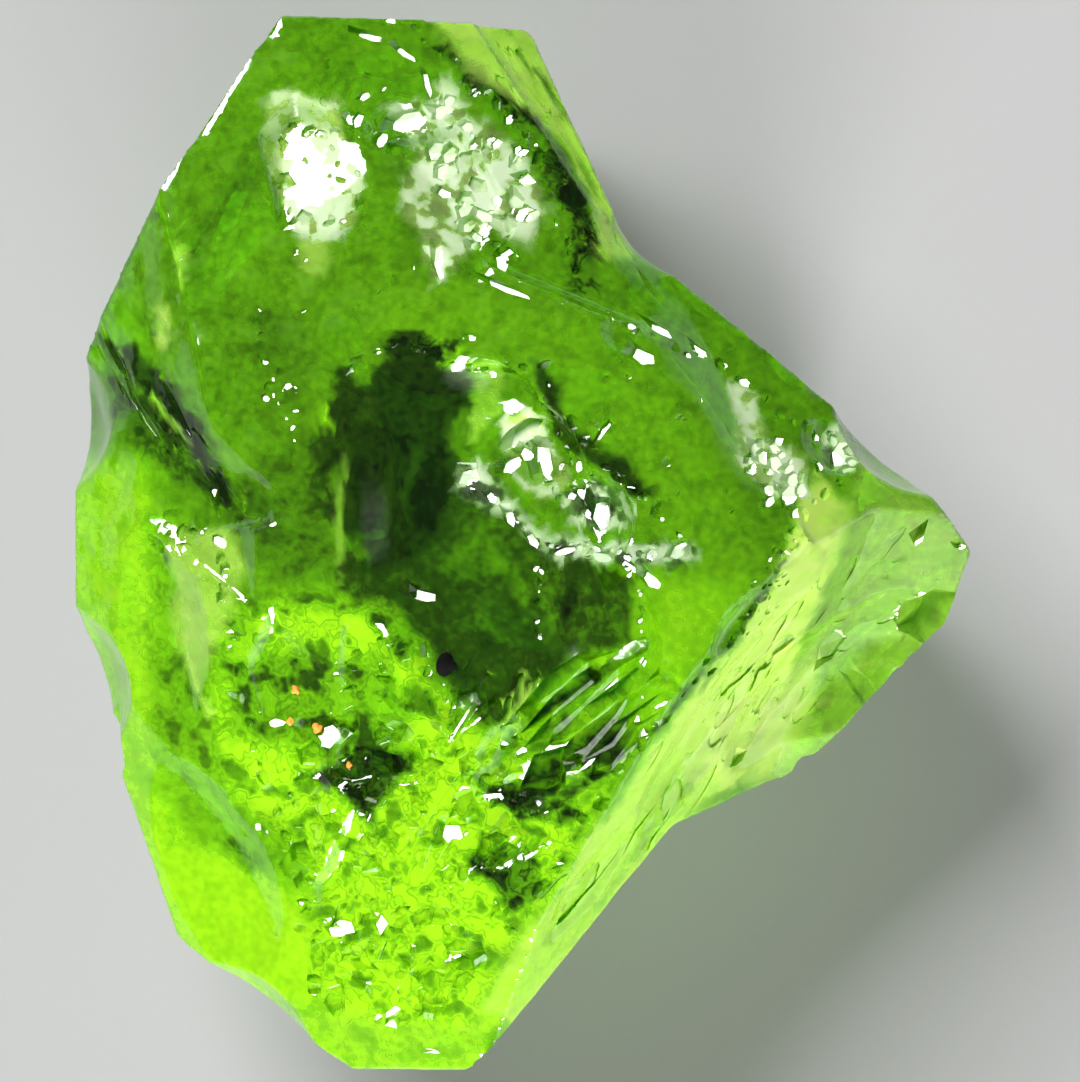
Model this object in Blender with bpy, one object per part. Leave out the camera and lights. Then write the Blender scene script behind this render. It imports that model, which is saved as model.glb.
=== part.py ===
"""Rough peridot crystal: one broken piece of a clear green crystal, lying on its flattest break.

The stone is worked like a real one is broken. A block of its full size is split along flat breaks, notches are
broken out of it where flat breaks meet in a hollow, and then shell-shaped scars are struck out of it.
+X is the stone's right and +Y its top as it is usually pictured, and +Z is the side that faces the viewer.
The origin is the middle of the box's underside, and the units are metres.
"""

import math
from collections import namedtuple

import bmesh
import bpy
from mathutils import Matrix, Vector

MM = 0.001

# The stone's full size
WIDTH = 8.98 * MM
LENGTH = 10.52 * MM
HEIGHT = 5.75 * MM

# A notch's cutter is a block this many times the stone's full size, and starts this far below the ground
CUTTER_SCALE = 1.6
CUTTER_DROP = 1.0 * MM

# How fine the round scars are cut
SCAR_FACET = 0.22 * MM
FINEST_BALL = 6
COARSEST_BALL = 2

# Peridot's colour, surface and refraction
PERIDOT_GREEN = (0.36, 0.72, 0.06, 1.0)
PERIDOT_ROUGHNESS = 0.05
PERIDOT_IOR = 1.67

# Points and sizes below are in mm and angles in degrees. A height of nought or less is measured down from the
# face that the viewer sees.

# A flat break: a point on it, the compass angle that it faces, and how far it faces upwards
Break = namedtuple("Break", "name x y z faces tilt")

# A notch: it takes out all that lies outwards of every one of its flat breaks, so they meet in a hollow
Notch = namedtuple("Notch", "name breaks")

# A flake: a notch with four walls and a floor. Its middle and depth, the compass angle and size of its mouth,
# how far its corners are out of square, how far its walls face upwards, and where its floor faces
Flake = namedtuple("Flake", "name x y depth along length width skew walls faces tilt")

# A struck scar: the middle of its mouth, the angles that it faces, the compass angle that its length runs
# along, and its size
Scar = namedtuple("Scar", "name x y z faces tilt along length width depth")

ON_FACE = 0.0

CROWN_BREAKS = (
    Break("upper_left_plateau", -1.6, 2.6, 5.35, 125, 84),
    Break("right_plateau", 1.5, 0.9, 5.45, 15, 84),
    Break("lower_plateau", -0.9, -3.4, 5.15, 262, 81),
    Break("top_bevel", -0.09, 4.27, 5.30, 51, 40),
    Break("left_slope", -2.95, -0.50, 5.30, 187, 45),
    Break("lower_left_slope", -2.40, -2.60, 5.15, 206, 42),
    Break("upper_left_slope", -3.45, 1.05, 5.34, 221, 64),
    Break("bottom_bevel", -1.40, -4.75, 4.90, 262, 36),
)

GIRDLE_BREAKS = (
    Break("top_wall", -1.30, 5.26, 5.0, 90, -12),
    Break("upper_left_wall", -2.95, 4.52, 5.2, 146, -14),
    Break("left_shoulder_wall", -4.08, 2.65, 4.5, 155, -12),
    Break("right_shoulder", 4.42, 0.05, 4.1, 41, -6),
    Break("wing_tip", 4.46, -0.20, 4.0, -18, -4),
    Break("wing_edge", 3.76, -1.31, 3.6, -42, -16),
    Break("lower_right_wall", 2.78, -2.33, 3.7, -49, -12),
    Break("bottom_left_wall", -2.60, -4.62, 3.8, 236, -12),
    Break("left_wall", -4.20, -1.76, 3.7, 197, -14),
    Break("upper_left_edge", -4.48, 0.60, 3.9, 178, -14),
)

UNDERSIDE_BREAKS = (
    Break("under_upper_left", -3.0, 3.4, 0.35, 148, -60),
    Break("under_top", -1.2, 4.5, 0.30, 92, -60),
    Break("under_upper_right", 2.2, 1.9, 0.45, 44, -56),
    Break("under_left", -3.9, -1.2, 1.7, 192, -56),
    Break("under_lower_left", -2.9, -4.2, 2.4, 226, -50),
    Break("under_lower_right", 0.7, -3.3, 0.6, -48, -58),
)

CROWN_NOTCHES = (
    Notch("wing", (
        Break("wing_riser", 1.18, -1.96, 5.50, -36, 33),
        Break("wing_tread", 3.24, -0.50, 4.28, -55, 55),
    )),
    Notch("shoulder_ledge", (
        Break("shoulder_riser", 1.33, 2.07, 5.35, 67, 14),
        Break("shoulder_tread", 1.33, 2.07, 5.12, 52, 74),
    )),
    Notch("upper_right_ledge", (
        Break("bevel_riser", 0.22, 4.02, 5.05, 34, 12),
        Break("bevel_tread", 0.22, 4.02, 4.78, 40, 58),
    )),
    Notch("centre_hollow", (
        Break("hollow_left", -1.80, 0.60, 5.60, 3, 42),
        Break("hollow_top", -0.90, 1.80, 5.50, 280, 44),
        Break("hollow_right", 0.45, 1.15, 5.58, 222, 38),
        Break("hollow_lower_right", 1.20, -0.70, 5.55, 190, 40),
        Break("hollow_lower_left", -1.30, -1.10, 5.52, 45, 60),
        Break("hollow_floor", -0.30, 0.10, 5.02, 300, 83),
        Break("hollow_bottom", 0.55, -2.20, 5.40, 112, 64),
    )),
)

FLAKES = (
    Flake("arrowhead_flake", -2.10, 3.82, -0.13, 125, 1.20, 1.00, 16, 40, 129, 68),
    Flake("upper_flake", -0.72, 3.60, -0.12, 125, 1.30, 0.80, -14, 48, 84, 74),
    Flake("right_flake", 2.35, 0.80, -0.12, 128, 1.20, 0.70, 14, 50, 52, 74),
    Flake("crack_flake", -3.45, 0.98, -0.16, 131, 2.30, 0.50, 5, 28, 205, 50),
    Flake("crack_end_flake", -2.95, 0.05, -0.12, 84, 1.00, 0.60, 18, 34, 196, 56),
    Flake("side_flake", -2.30, -1.30, -0.12, 112, 1.30, 0.80, 16, 46, 214, 68),
    Flake("low_side_flake", -2.25, -2.70, -0.12, 122, 1.20, 0.70, -14, 44, 212, 60),
    Flake("middle_flake", -1.45, -2.10, -0.14, 48, 1.30, 0.90, -18, 48, 238, 70),
    Flake("inner_flake", -0.85, -1.35, -0.10, 146, 1.10, 0.60, 16, 52, 318, 76),
    Flake("low_flake", -0.45, -2.85, -0.13, 24, 1.30, 0.90, 16, 50, 300, 74),
    Flake("lower_left_flake", -1.70, -3.40, -0.13, 104, 1.10, 0.80, 17, 48, 198, 68),
    Flake("bottom_flake", -0.70, -4.05, -0.13, 66, 1.00, 0.90, -16, 48, 254, 69),
    Flake("upper_groove", 0.62, -1.38, -0.11, 41, 1.50, 0.32, 6, 46, 308, 66),
    Flake("middle_groove", 0.46, -1.84, -0.13, 43, 1.90, 0.36, -6, 44, 312, 62),
    Flake("lower_groove", 0.28, -2.30, -0.11, 39, 1.60, 0.30, 7, 46, 306, 66),
)

SIDE_NOTCHES = (
    Notch("upper_right_corner", (
        Break("top_right_wall", 0.55, 4.15, 4.8, 24, -4),
        Break("notch_wall", 1.50, 2.72, 4.8, 52, -10),
    )),
    Notch("lower_right_corner", (
        Break("lower_right_face", 1.00, -3.44, 4.4, -40, -12),
        Break("wing_end", 2.35, -2.44, 3.6, -74, -10),
    )),
    Notch("under_wing", (
        Break("wing_underface", 3.60, -0.60, 2.10, -30, -74),
        Break("wing_inner_wall", 1.90, -2.49, 2.10, -34, -22),
    )),
    Notch("centre_pit", (
        Break("pit_left", -1.90, 0.60, 0.0, 4, -47),
        Break("pit_right", 0.62, 0.30, 0.0, 178, -14),
        Break("pit_top", -0.50, 1.85, 0.0, 258, -24),
        Break("pit_bottom", -0.60, -1.50, 0.0, 98, -30),
    )),
)

SCARS = (
    Scar("left_notch", -4.34, 1.20, 4.20, 178, 10, 88, 1.20, 2.40, 0.22),
    Scar("left_dent", -4.16, -1.38, 3.70, 192, 15, 102, 1.10, 2.00, 0.14),
    Scar("tip_notch", 3.56, 0.94, 4.50, 44, 5, 134, 1.30, 2.40, 0.22),
    Scar("lower_left_notch", -2.75, -4.55, 4.00, 236, 10, 146, 1.70, 2.60, 0.25),
    Scar("wing_scar", 3.15, -1.25, ON_FACE, -50, 50, 40, 2.20, 1.20, 0.20),
    Scar("riser_scar", 2.00, -1.70, ON_FACE, -36, 36, 54, 3.20, 0.90, 0.14),
    Scar("low_riser_scar", 0.75, -3.30, ON_FACE, -38, 36, 52, 1.80, 0.60, 0.11),
    Scar("left_scar", -3.50, -1.15, ON_FACE, 190, 47, 100, 3.00, 1.40, 0.22),
    Scar("lower_left_scar", -2.85, -3.30, ON_FACE, 208, 44, 118, 2.30, 1.40, 0.20),
    Scar("upper_left_scar", -3.65, 0.60, ON_FACE, 212, 66, 120, 1.50, 0.80, 0.15),
    Scar("round_scar", -1.15, 1.70, ON_FACE, 280, 70, 0, 0.80, 0.80, 0.20),
    Scar("arc_scar", -0.30, 1.55, ON_FACE, 262, 68, 350, 1.00, 0.60, 0.18),
    Scar("rim_scar", 0.18, 0.98, ON_FACE, 228, 66, 300, 1.00, 0.80, 0.20),
    Scar("rim_chip", 0.78, 0.34, ON_FACE, 215, 70, 300, 0.75, 0.65, 0.16),
    Scar("low_rim_chip", 1.18, -1.00, ON_FACE, 190, 66, 95, 1.20, 0.50, 0.15),
    Scar("arch_scar", -1.15, 4.20, ON_FACE, 100, 78, 20, 0.75, 0.55, 0.10),
    Scar("shoulder_chip", 1.15, 1.95, ON_FACE, 70, 74, 150, 0.80, 0.45, 0.11),
    Scar("tip_chip", 3.12, 0.95, ON_FACE, 60, 68, 120, 0.70, 0.50, 0.11),
    Scar("ridge_chip", 2.15, -0.80, ON_FACE, -36, 62, 54, 0.90, 0.35, 0.11),
    Scar("under_scar", -2.60, -1.60, 1.00, 205, -56, 115, 3.40, 2.20, 0.42),
    Scar("under_bottom_scar", -1.30, -3.55, 1.20, 240, -52, 150, 2.60, 1.90, 0.36),
)


def facing(compass, tilt):
    """The direction that turns to a compass angle and rises by a tilt, both in degrees."""
    turn = math.radians(compass)
    rise = math.radians(tilt)
    return Vector((math.cos(turn) * math.cos(rise), math.sin(turn) * math.cos(rise), math.sin(rise)))


def height_at(flat_break, x, y):
    """How high a flat break that faces upwards is at a place, in mm."""
    outwards = facing(flat_break.faces, flat_break.tilt)
    return flat_break.z - (outwards.x * (x - flat_break.x) + outwards.y * (y - flat_break.y)) / outwards.z


def face_height(x, y, notches):
    """How high the face that the viewer sees is at a place, in mm, once these notches are broken out of it."""
    height = min(height_at(flat_break, x, y) for flat_break in CROWN_BREAKS)
    for notch in notches:
        height = min(height, max(height_at(flat_break, x, y) for flat_break in notch.breaks))
    return height


def set_down(piece, notches):
    """A break or a scar, its height taken from the face that these notches leave if it is measured from there."""
    if piece.z > ON_FACE:
        return piece
    return piece._replace(z=face_height(piece.x, piece.y, notches) + piece.z)


def flake_notch(flake):
    """The notch of five flat breaks that makes a flake."""
    breaks = [Break(flake.name, flake.x, flake.y, flake.depth, flake.faces, flake.tilt)]
    for turn, reach, skew in (
        (0, flake.length, flake.skew),
        (90, flake.width, -flake.skew),
        (180, flake.length, -flake.skew),
        (270, flake.width, flake.skew),
    ):
        towards = facing(flake.along + turn, 0.0) * reach / 2
        faces = flake.along + turn + 180 + skew
        breaks.append(Break(flake.name, flake.x + towards.x, flake.y + towards.y, ON_FACE, faces, flake.walls))
    return Notch(flake.name, breaks)


def crown_notches():
    """The notches in the face that the viewer sees, each set on what those before it leave."""
    notches = []
    for notch in CROWN_NOTCHES + tuple(flake_notch(flake) for flake in FLAKES):
        notches.append(Notch(notch.name, [set_down(flat_break, notches) for flat_break in notch.breaks]))
    return notches


def place(piece):
    """The point that a break or a scar is given at, in metres."""
    return Vector((piece.x, piece.y, piece.z)) * MM


def collection(name):
    """A new collection in the scene."""
    made = bpy.data.collections.new(name)
    bpy.context.scene.collection.children.link(made)
    return made


def peridot():
    """Clear peridot: green, glossy and see-through."""
    material = bpy.data.materials.new("peridot")
    material.use_nodes = True
    shader = material.node_tree.nodes["Principled BSDF"]
    shader.inputs["Base Color"].default_value = PERIDOT_GREEN
    shader.inputs["Roughness"].default_value = PERIDOT_ROUGHNESS
    shader.inputs["IOR"].default_value = PERIDOT_IOR
    shader.inputs["Transmission Weight"].default_value = 1.0
    material.diffuse_color = PERIDOT_GREEN
    return material


def split(mesh, point, outwards):
    """Splits off all that lies outwards of a point, and closes the mesh there."""
    cut = bmesh.ops.bisect_plane(
        mesh,
        geom=mesh.verts[:] + mesh.edges[:] + mesh.faces[:],
        plane_co=point,
        plane_no=outwards,
        clear_outer=True,
    )
    rim = [piece for piece in cut["geom_cut"] if isinstance(piece, bmesh.types.BMEdge)]
    if rim:
        bmesh.ops.edgeloop_fill(mesh, edges=rim)


def block(scale, drop):
    """A block of the stone's full size times a scale, with its underside this far below the ground."""
    mesh = bmesh.new()
    size = Matrix.Diagonal((WIDTH * scale, LENGTH * scale, HEIGHT * scale, 1.0))
    rise = Matrix.Translation((0.0, 0.0, HEIGHT * scale / 2 - drop))
    bmesh.ops.create_cube(mesh, size=1.0, matrix=rise @ size)
    return mesh


def finished(name, mesh):
    """An object with this name and mesh, its faces turned outwards."""
    bmesh.ops.recalc_face_normals(mesh, faces=mesh.faces)
    data = bpy.data.meshes.new(name)
    mesh.to_mesh(data)
    mesh.free()
    return bpy.data.objects.new(name, data)


def split_stone():
    """The stone's block, split along each flat break in turn."""
    mesh = block(1.0, 0.0)
    for flat_break in CROWN_BREAKS + GIRDLE_BREAKS + UNDERSIDE_BREAKS:
        split(mesh, place(flat_break), facing(flat_break.faces, flat_break.tilt))
    return finished("peridot_crystal", mesh)


def notch_cutter(notch):
    """What a notch takes out: all that is outwards of each of its flat breaks."""
    mesh = block(CUTTER_SCALE, CUTTER_DROP)
    for flat_break in notch.breaks:
        split(mesh, place(flat_break), -facing(flat_break.faces, flat_break.tilt))
    return finished(notch.name, mesh)


def scar_cutter(scar):
    """The stretched ball whose surface is the floor of a scar."""
    radius = (scar.width**2 / 4 + scar.depth**2) / (2 * scar.depth) * MM
    rounds = round(math.log2(radius / SCAR_FACET)) + 1
    mesh = bmesh.new()
    bmesh.ops.create_icosphere(mesh, subdivisions=max(COARSEST_BALL, min(FINEST_BALL, rounds)), radius=radius)
    bmesh.ops.scale(mesh, vec=(scar.length / scar.width, 1.0, 1.0), verts=mesh.verts)
    ball = finished(scar.name, mesh)
    ball.data.shade_smooth()
    outwards = facing(scar.faces, scar.tilt)
    across = outwards.cross(facing(scar.along, 0.0)).normalized()
    lengthwise = across.cross(outwards)
    turned = Matrix((lengthwise, across, outwards)).transposed().to_4x4()
    centre = place(scar) + outwards * (radius - scar.depth * MM)
    ball.matrix_world = Matrix.Translation(centre) @ turned
    return ball


def take_out(stone, cutter, cutters):
    """Takes a cutter's shape out of the stone."""
    cutters.objects.link(cutter)
    cutter.hide_render = True
    cutter.display_type = "WIRE"
    cut = stone.modifiers.new(cutter.name, "BOOLEAN")
    cut.operation = "DIFFERENCE"
    cut.object = cutter


def main():
    """Builds the stone."""
    for thing in list(bpy.data.objects):
        bpy.data.objects.remove(thing)
    stone = split_stone()
    stone.data.materials.append(peridot())
    collection("rough peridot crystal").objects.link(stone)
    cutters = collection("cutters")
    notches = crown_notches()
    for notch in notches + list(SIDE_NOTCHES):
        take_out(stone, notch_cutter(notch), cutters)
    for scar in SCARS:
        take_out(stone, scar_cutter(set_down(scar, notches)), cutters)


main()
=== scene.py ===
"""Rough peridot crystal, dressed for the camera.

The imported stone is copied, given the fine relief of a broken surface, chipped all over with small angular
and long narrow tools, and dressed as clear green peridot. It lies on a plain floor and is seen from straight
above. Places and sizes in the tables are in mm.
"""

import logging
import math
import random
from dataclasses import dataclass, field
from enum import Enum

import bpy
from mathutils import Matrix, Vector, noise
from mathutils.bvhtree import BVHTree


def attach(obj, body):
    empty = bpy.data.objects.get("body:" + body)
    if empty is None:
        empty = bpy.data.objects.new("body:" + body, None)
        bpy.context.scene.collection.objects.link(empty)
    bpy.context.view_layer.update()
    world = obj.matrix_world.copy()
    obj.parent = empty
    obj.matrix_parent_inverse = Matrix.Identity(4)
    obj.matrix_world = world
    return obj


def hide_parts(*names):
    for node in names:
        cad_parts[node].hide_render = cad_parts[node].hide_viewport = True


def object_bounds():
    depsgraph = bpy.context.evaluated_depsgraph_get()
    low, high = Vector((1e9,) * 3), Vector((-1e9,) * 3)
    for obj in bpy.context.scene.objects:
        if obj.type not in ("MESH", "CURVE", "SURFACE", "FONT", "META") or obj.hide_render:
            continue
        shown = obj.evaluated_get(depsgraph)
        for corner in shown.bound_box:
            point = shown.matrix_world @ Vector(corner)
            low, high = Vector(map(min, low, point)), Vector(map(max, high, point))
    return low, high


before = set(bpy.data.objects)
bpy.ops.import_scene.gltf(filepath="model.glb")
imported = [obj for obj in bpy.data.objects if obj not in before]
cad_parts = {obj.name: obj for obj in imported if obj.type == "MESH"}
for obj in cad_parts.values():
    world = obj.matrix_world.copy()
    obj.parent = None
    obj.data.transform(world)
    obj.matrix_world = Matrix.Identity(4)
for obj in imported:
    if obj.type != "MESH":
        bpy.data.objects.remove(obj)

MM = 0.001
NEARLY_NONE = 1e-6
ABOVE = 20.0 * MM
DOWN = Vector((0, 0, -1))
CAD_BOX = [list(corner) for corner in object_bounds()]
Colour = tuple[float, float, float, float]
Ranges = tuple[tuple[float, float], tuple[float, float]]
Point = tuple[float, float]
Spot = tuple[Vector, Vector]

logging.basicConfig(level=logging.INFO, format="%(message)s")
log = logging.getLogger("peridot")


# Small helpers


def facing(compass: float, tilt: float) -> Vector:
    """The direction that turns to a compass angle and rises by a tilt.

    Args:
        compass: Angle from +X towards +Y, in degrees.
        tilt: Angle above the horizon, in degrees.

    Returns:
        A direction of length one.
    """
    turn = math.radians(compass)
    rise = math.radians(tilt)
    return Vector((math.cos(turn) * math.cos(rise), math.sin(turn) * math.cos(rise), math.sin(rise)))


def only(piece: bpy.types.Object) -> bpy.types.Object:
    """Selects one object alone and makes it the active one.

    Args:
        piece: The object.

    Returns:
        The same object.
    """
    bpy.ops.object.select_all(action="DESELECT")
    piece.select_set(True)
    bpy.context.view_layer.objects.active = piece
    return piece


def set_frame(origin: Vector, outwards: Vector, along: Vector) -> Matrix:
    """The placement of a tool that cuts into a surface.

    Args:
        origin: The middle of the tool's mouth.
        outwards: The way out of the surface.
        along: The way that the tool's length should run.

    Returns:
        A matrix whose X runs along the tool's length and whose Z points out of the surface.
    """
    across = outwards.cross(along)
    if across.length < NEARLY_NONE:
        across = outwards.orthogonal()
    across.normalize()
    lengthwise = across.cross(outwards).normalized()
    turned = Matrix((lengthwise, across, outwards)).transposed().to_4x4()
    return Matrix.Translation(origin) @ turned


def triangles_of(piece: bpy.types.Object) -> int:
    """How many triangles an object has."""
    return sum(len(face.vertices) - 2 for face in piece.data.polygons)


def apply_modifiers(piece: bpy.types.Object) -> None:
    """Applies every modifier of an object, in order.

    Args:
        piece: The object.
    """
    only(piece)
    for modifier in list(piece.modifiers):
        bpy.ops.object.modifier_apply(modifier=modifier.name)


# Finishes


TONES = "tones"


def new_material(name: str) -> bpy.types.Material:
    """A fresh node material.

    Args:
        name: Its name.

    Returns:
        The material.
    """
    material = bpy.data.materials.new(name)
    material.use_nodes = True
    return material


@dataclass(frozen=True)
class Web:
    """The steps that are strung together in a material."""

    material: bpy.types.Material

    def added(self, kind: str) -> bpy.types.Node:
        """A new node of a kind."""
        return self.material.node_tree.nodes.new(kind)

    def link(self, start: bpy.types.NodeSocket, end: bpy.types.NodeSocket) -> None:
        """Joins two sockets."""
        self.material.node_tree.links.new(start, end)

    def noise(self, place: bpy.types.NodeSocket, scale: float, detail: float) -> bpy.types.NodeSocket:
        """A cloudy pattern.

        Args:
            place: The socket that gives the place.
            scale: How many clouds there are to a metre.
            detail: How many finer layers they have.

        Returns:
            The socket with its value.
        """
        uneven = self.added("ShaderNodeTexNoise")
        uneven.inputs["Scale"].default_value = scale
        uneven.inputs["Detail"].default_value = detail
        self.link(place, uneven.inputs["Vector"])
        return uneven.outputs["Fac"]

    def blend(
        self, first: bpy.types.NodeSocket | Colour, second: Colour, share: bpy.types.NodeSocket
    ) -> bpy.types.NodeSocket:
        """Mixes a second colour into a first one by a share.

        Args:
            first: The first colour, or the socket that gives it.
            second: The colour that is mixed in.
            share: The socket that says how much of it.

        Returns:
            The socket with the mixed colour.
        """
        mix = self.added("ShaderNodeMix")
        mix.data_type = "RGBA"
        mix.inputs["B"].default_value = second
        if isinstance(first, bpy.types.NodeSocket):
            self.link(first, mix.inputs["A"])
        else:
            mix.inputs["A"].default_value = first
        self.link(share, mix.inputs["Factor"])
        return mix.outputs["Result"]

    def between(
        self, value: bpy.types.NodeSocket, taken: tuple[float, float], given: tuple[float, float]
    ) -> bpy.types.NodeSocket:
        """Maps a range of a value onto another range.

        Args:
            value: The socket with the value.
            taken: The range that is read.
            given: The range that it becomes.

        Returns:
            The socket with the new value.
        """
        mapped = self.added("ShaderNodeMapRange")
        mapped.inputs["From Min"].default_value, mapped.inputs["From Max"].default_value = taken
        mapped.inputs["To Min"].default_value, mapped.inputs["To Max"].default_value = given
        self.link(value, mapped.inputs["Value"])
        return mapped.outputs["Result"]

    def worked_out(
        self, kind: str, first: bpy.types.NodeSocket, second: bpy.types.NodeSocket | float
    ) -> bpy.types.NodeSocket:
        """Works two values into one.

        Args:
            kind: The kind of sum.
            first: The socket with the first value.
            second: The second value, or the socket that gives it.

        Returns:
            The socket with the result.
        """
        worked = self.added("ShaderNodeMath")
        worked.operation = kind
        self.link(first, worked.inputs[0])
        if isinstance(second, float):
            worked.inputs[1].default_value = second
        else:
            self.link(second, worked.inputs[1])
        return worked.outputs[0]


@dataclass(frozen=True)
class PeridotFinish:
    """See-through peridot with an unpolished, broken surface.

    The stone carries a colour attribute, "tones": red is how bright a place is, which paints its light and
    shade as well as its own tones; green how pale, which paints a sheen; blue how frosted, which roughens it
    and paints white highlights; and alpha how broken up. Each range is a pair: what is read from a pattern,
    and what it gives.
    """

    name: str = "peridot"
    absorbs_to: Colour = (0.86, 0.985, 0.42, 1.0)
    density: float = 500.0
    refraction: float = 1.67
    shine: float = 0.42
    see_through: float = 0.64
    # The stone's green from dark to bright lime, for its painted shade and its painted light
    greens: tuple[tuple[float, Colour], ...] = (
        (0.00, (0.004, 0.010, 0.001, 1.0)),
        (0.25, (0.030, 0.080, 0.003, 1.0)),
        (0.50, (0.115, 0.340, 0.004, 1.0)),
        (0.75, (0.240, 0.660, 0.006, 1.0)),
        (1.00, (0.500, 1.000, 0.012, 1.0)),
    )
    # Pale lime that paints a sheen on the ridge band, the wing and other pale places
    pale_lime: Colour = (0.74, 1.00, 0.18, 1.0)
    # White of frosted places, which also paints their highlights
    frost_and_highlight_white: Colour = (0.86, 1.00, 0.66, 1.0)
    smooth: float = 0.02
    dull: float = 0.14
    frosted: float = 0.55
    fleck_scale: float = 4200.0
    fleck_detail: float = 2.0
    mottle_scale: float = 13000.0
    streak_scale: float = 7000.0
    streak_turn: float = -53.0
    streak_stretch: float = 0.12
    vein_fold: float = 0.53
    swing_range: Ranges = ((0.36, 0.50), (-0.66, 0.12))
    vein_range: Ranges = ((0.485, 0.530), (0.04, -0.34))
    speckle_range: Ranges = ((0.25, 0.75), (-0.05, 0.05))
    pale_range: Ranges = ((0.38, 0.60), (0.75, 1.10))
    frost_and_highlight_range: Ranges = ((0.44, 0.53), (0.12, 1.05))
    dull_flecks: tuple[float, float] = (0.35, 0.7)
    rough_range: Ranges = ((0.05, 0.45), (0.0, 1.0))
    bump_strength: float = 0.18
    bump_depth: float = 0.004 * MM

    def material(self) -> bpy.types.Material:
        """Builds the node material.

        Returns:
            A see-through material with painted light and shade, a painted sheen, frosted places with painted
            highlights, and a fine grain.
        """
        material = new_material(self.name)
        nodes = material.node_tree.nodes
        links = material.node_tree.links
        web = Web(material)
        shader = nodes["Principled BSDF"]
        shader.inputs["IOR"].default_value = self.refraction
        shader.inputs["Transmission Weight"].default_value = self.see_through
        shader.inputs["Specular IOR Level"].default_value = self.shine
        absorption = nodes.new("ShaderNodeVolumeAbsorption")
        absorption.inputs["Color"].default_value = self.absorbs_to
        absorption.inputs["Density"].default_value = self.density
        links.new(absorption.outputs[0], nodes["Material Output"].inputs["Volume"])

        # Painted light and shade, a painted sheen, and frost with painted highlights, as the stone carries
        # them
        tones = nodes.new("ShaderNodeAttribute")
        tones.attribute_name = TONES
        split = nodes.new("ShaderNodeSeparateColor")
        links.new(tones.outputs["Color"], split.inputs["Color"])
        bright, pale, frost_and_highlight = (split.outputs[channel] for channel in ("Red", "Green", "Blue"))
        broken = tones.outputs["Alpha"]

        place = nodes.new("ShaderNodeTexCoord").outputs["Object"]
        flecks = web.noise(place, self.fleck_scale, self.fleck_detail)
        mottle = web.noise(place, self.mottle_scale, 0.0)
        run = nodes.new("ShaderNodeMapping")
        run.inputs["Rotation"].default_value = (0.0, 0.0, math.radians(self.streak_turn))
        run.inputs["Scale"].default_value = (self.streak_stretch, 1.0, 1.0)
        links.new(place, run.inputs["Vector"])
        streaks = web.noise(run.outputs["Vector"], self.streak_scale, 0.0)

        swing = web.between(flecks, *self.swing_range)
        folded = web.worked_out("PINGPONG", flecks, self.vein_fold)
        swing = web.worked_out("ADD", swing, web.between(folded, *self.vein_range))
        speckle = web.between(mottle, *self.speckle_range)
        # The brightness paints light and shade, and the flecks and the mottle vary it at random
        shade = web.worked_out("ADD", bright, web.worked_out("MULTIPLY", swing, broken))
        shade = web.worked_out("ADD", shade, speckle)
        ramp = nodes.new("ShaderNodeValToRGB")
        stops = ramp.color_ramp.elements
        for position, green in self.greens[1:-1]:
            stops.new(position).color = green
        stops[0].color = self.greens[0][1]
        stops[-1].color = self.greens[-1][1]
        links.new(shade, ramp.inputs["Fac"])

        # The painted sheen and the white of frosted places, with their painted highlights, are mixed into the
        # green
        paleness = web.worked_out("MULTIPLY", pale, web.between(streaks, *self.pale_range))
        frost_and_highlight_share = web.worked_out("MULTIPLY", frost_and_highlight, web.between(flecks, *self.frost_and_highlight_range))
        colour = web.blend(ramp.outputs["Color"], self.pale_lime, paleness)
        colour = web.blend(colour, self.frost_and_highlight_white, frost_and_highlight_share)
        links.new(colour, shader.inputs["Base Color"])

        dulled = web.between(flecks, self.dull_flecks, (self.smooth, self.dull))
        roughness = nodes.new("ShaderNodeMix")
        links.new(web.between(frost_and_highlight_share, *self.rough_range), roughness.inputs["Factor"])
        links.new(dulled, roughness.inputs["A"])
        roughness.inputs["B"].default_value = self.frosted
        links.new(roughness.outputs["Result"], shader.inputs["Roughness"])

        bump = nodes.new("ShaderNodeBump")
        bump.inputs["Strength"].default_value = self.bump_strength
        bump.inputs["Distance"].default_value = self.bump_depth
        links.new(mottle, bump.inputs["Height"])
        links.new(bump.outputs["Normal"], shader.inputs["Normal"])
        return material


@dataclass(frozen=True)
class PlainFinish:
    """A plain opaque finish with a slightly uneven colour."""

    name: str
    colour: Colour
    roughness: float
    uneven: float = 0.0
    scale: float = 9000.0
    detail: float = 2.0
    shine: float = 0.5

    def material(self) -> bpy.types.Material:
        """Builds the node material.

        Returns:
            An opaque material whose colour varies a little from place to place.
        """
        material = new_material(self.name)
        nodes = material.node_tree.nodes
        shader = nodes["Principled BSDF"]
        shader.inputs["Roughness"].default_value = self.roughness
        shader.inputs["Specular IOR Level"].default_value = self.shine
        shader.inputs["Base Color"].default_value = self.colour
        if self.uneven > 0.0:
            web = Web(material)
            place = nodes.new("ShaderNodeTexCoord").outputs["Object"]
            darker = tuple(channel * (1.0 - self.uneven) for channel in self.colour[:3]) + (1.0,)
            mixed = web.blend(self.colour, darker, web.noise(place, self.scale, self.detail))
            web.link(mixed, shader.inputs["Base Color"])
        return material


# Tools that chip the stone


class Tool(Enum):
    """The shape that a chip takes out."""

    FACET = "flat floor and sloping sides"
    SPLINTER = "long narrow hollow"
    GRIT = "small angular lump"


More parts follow.
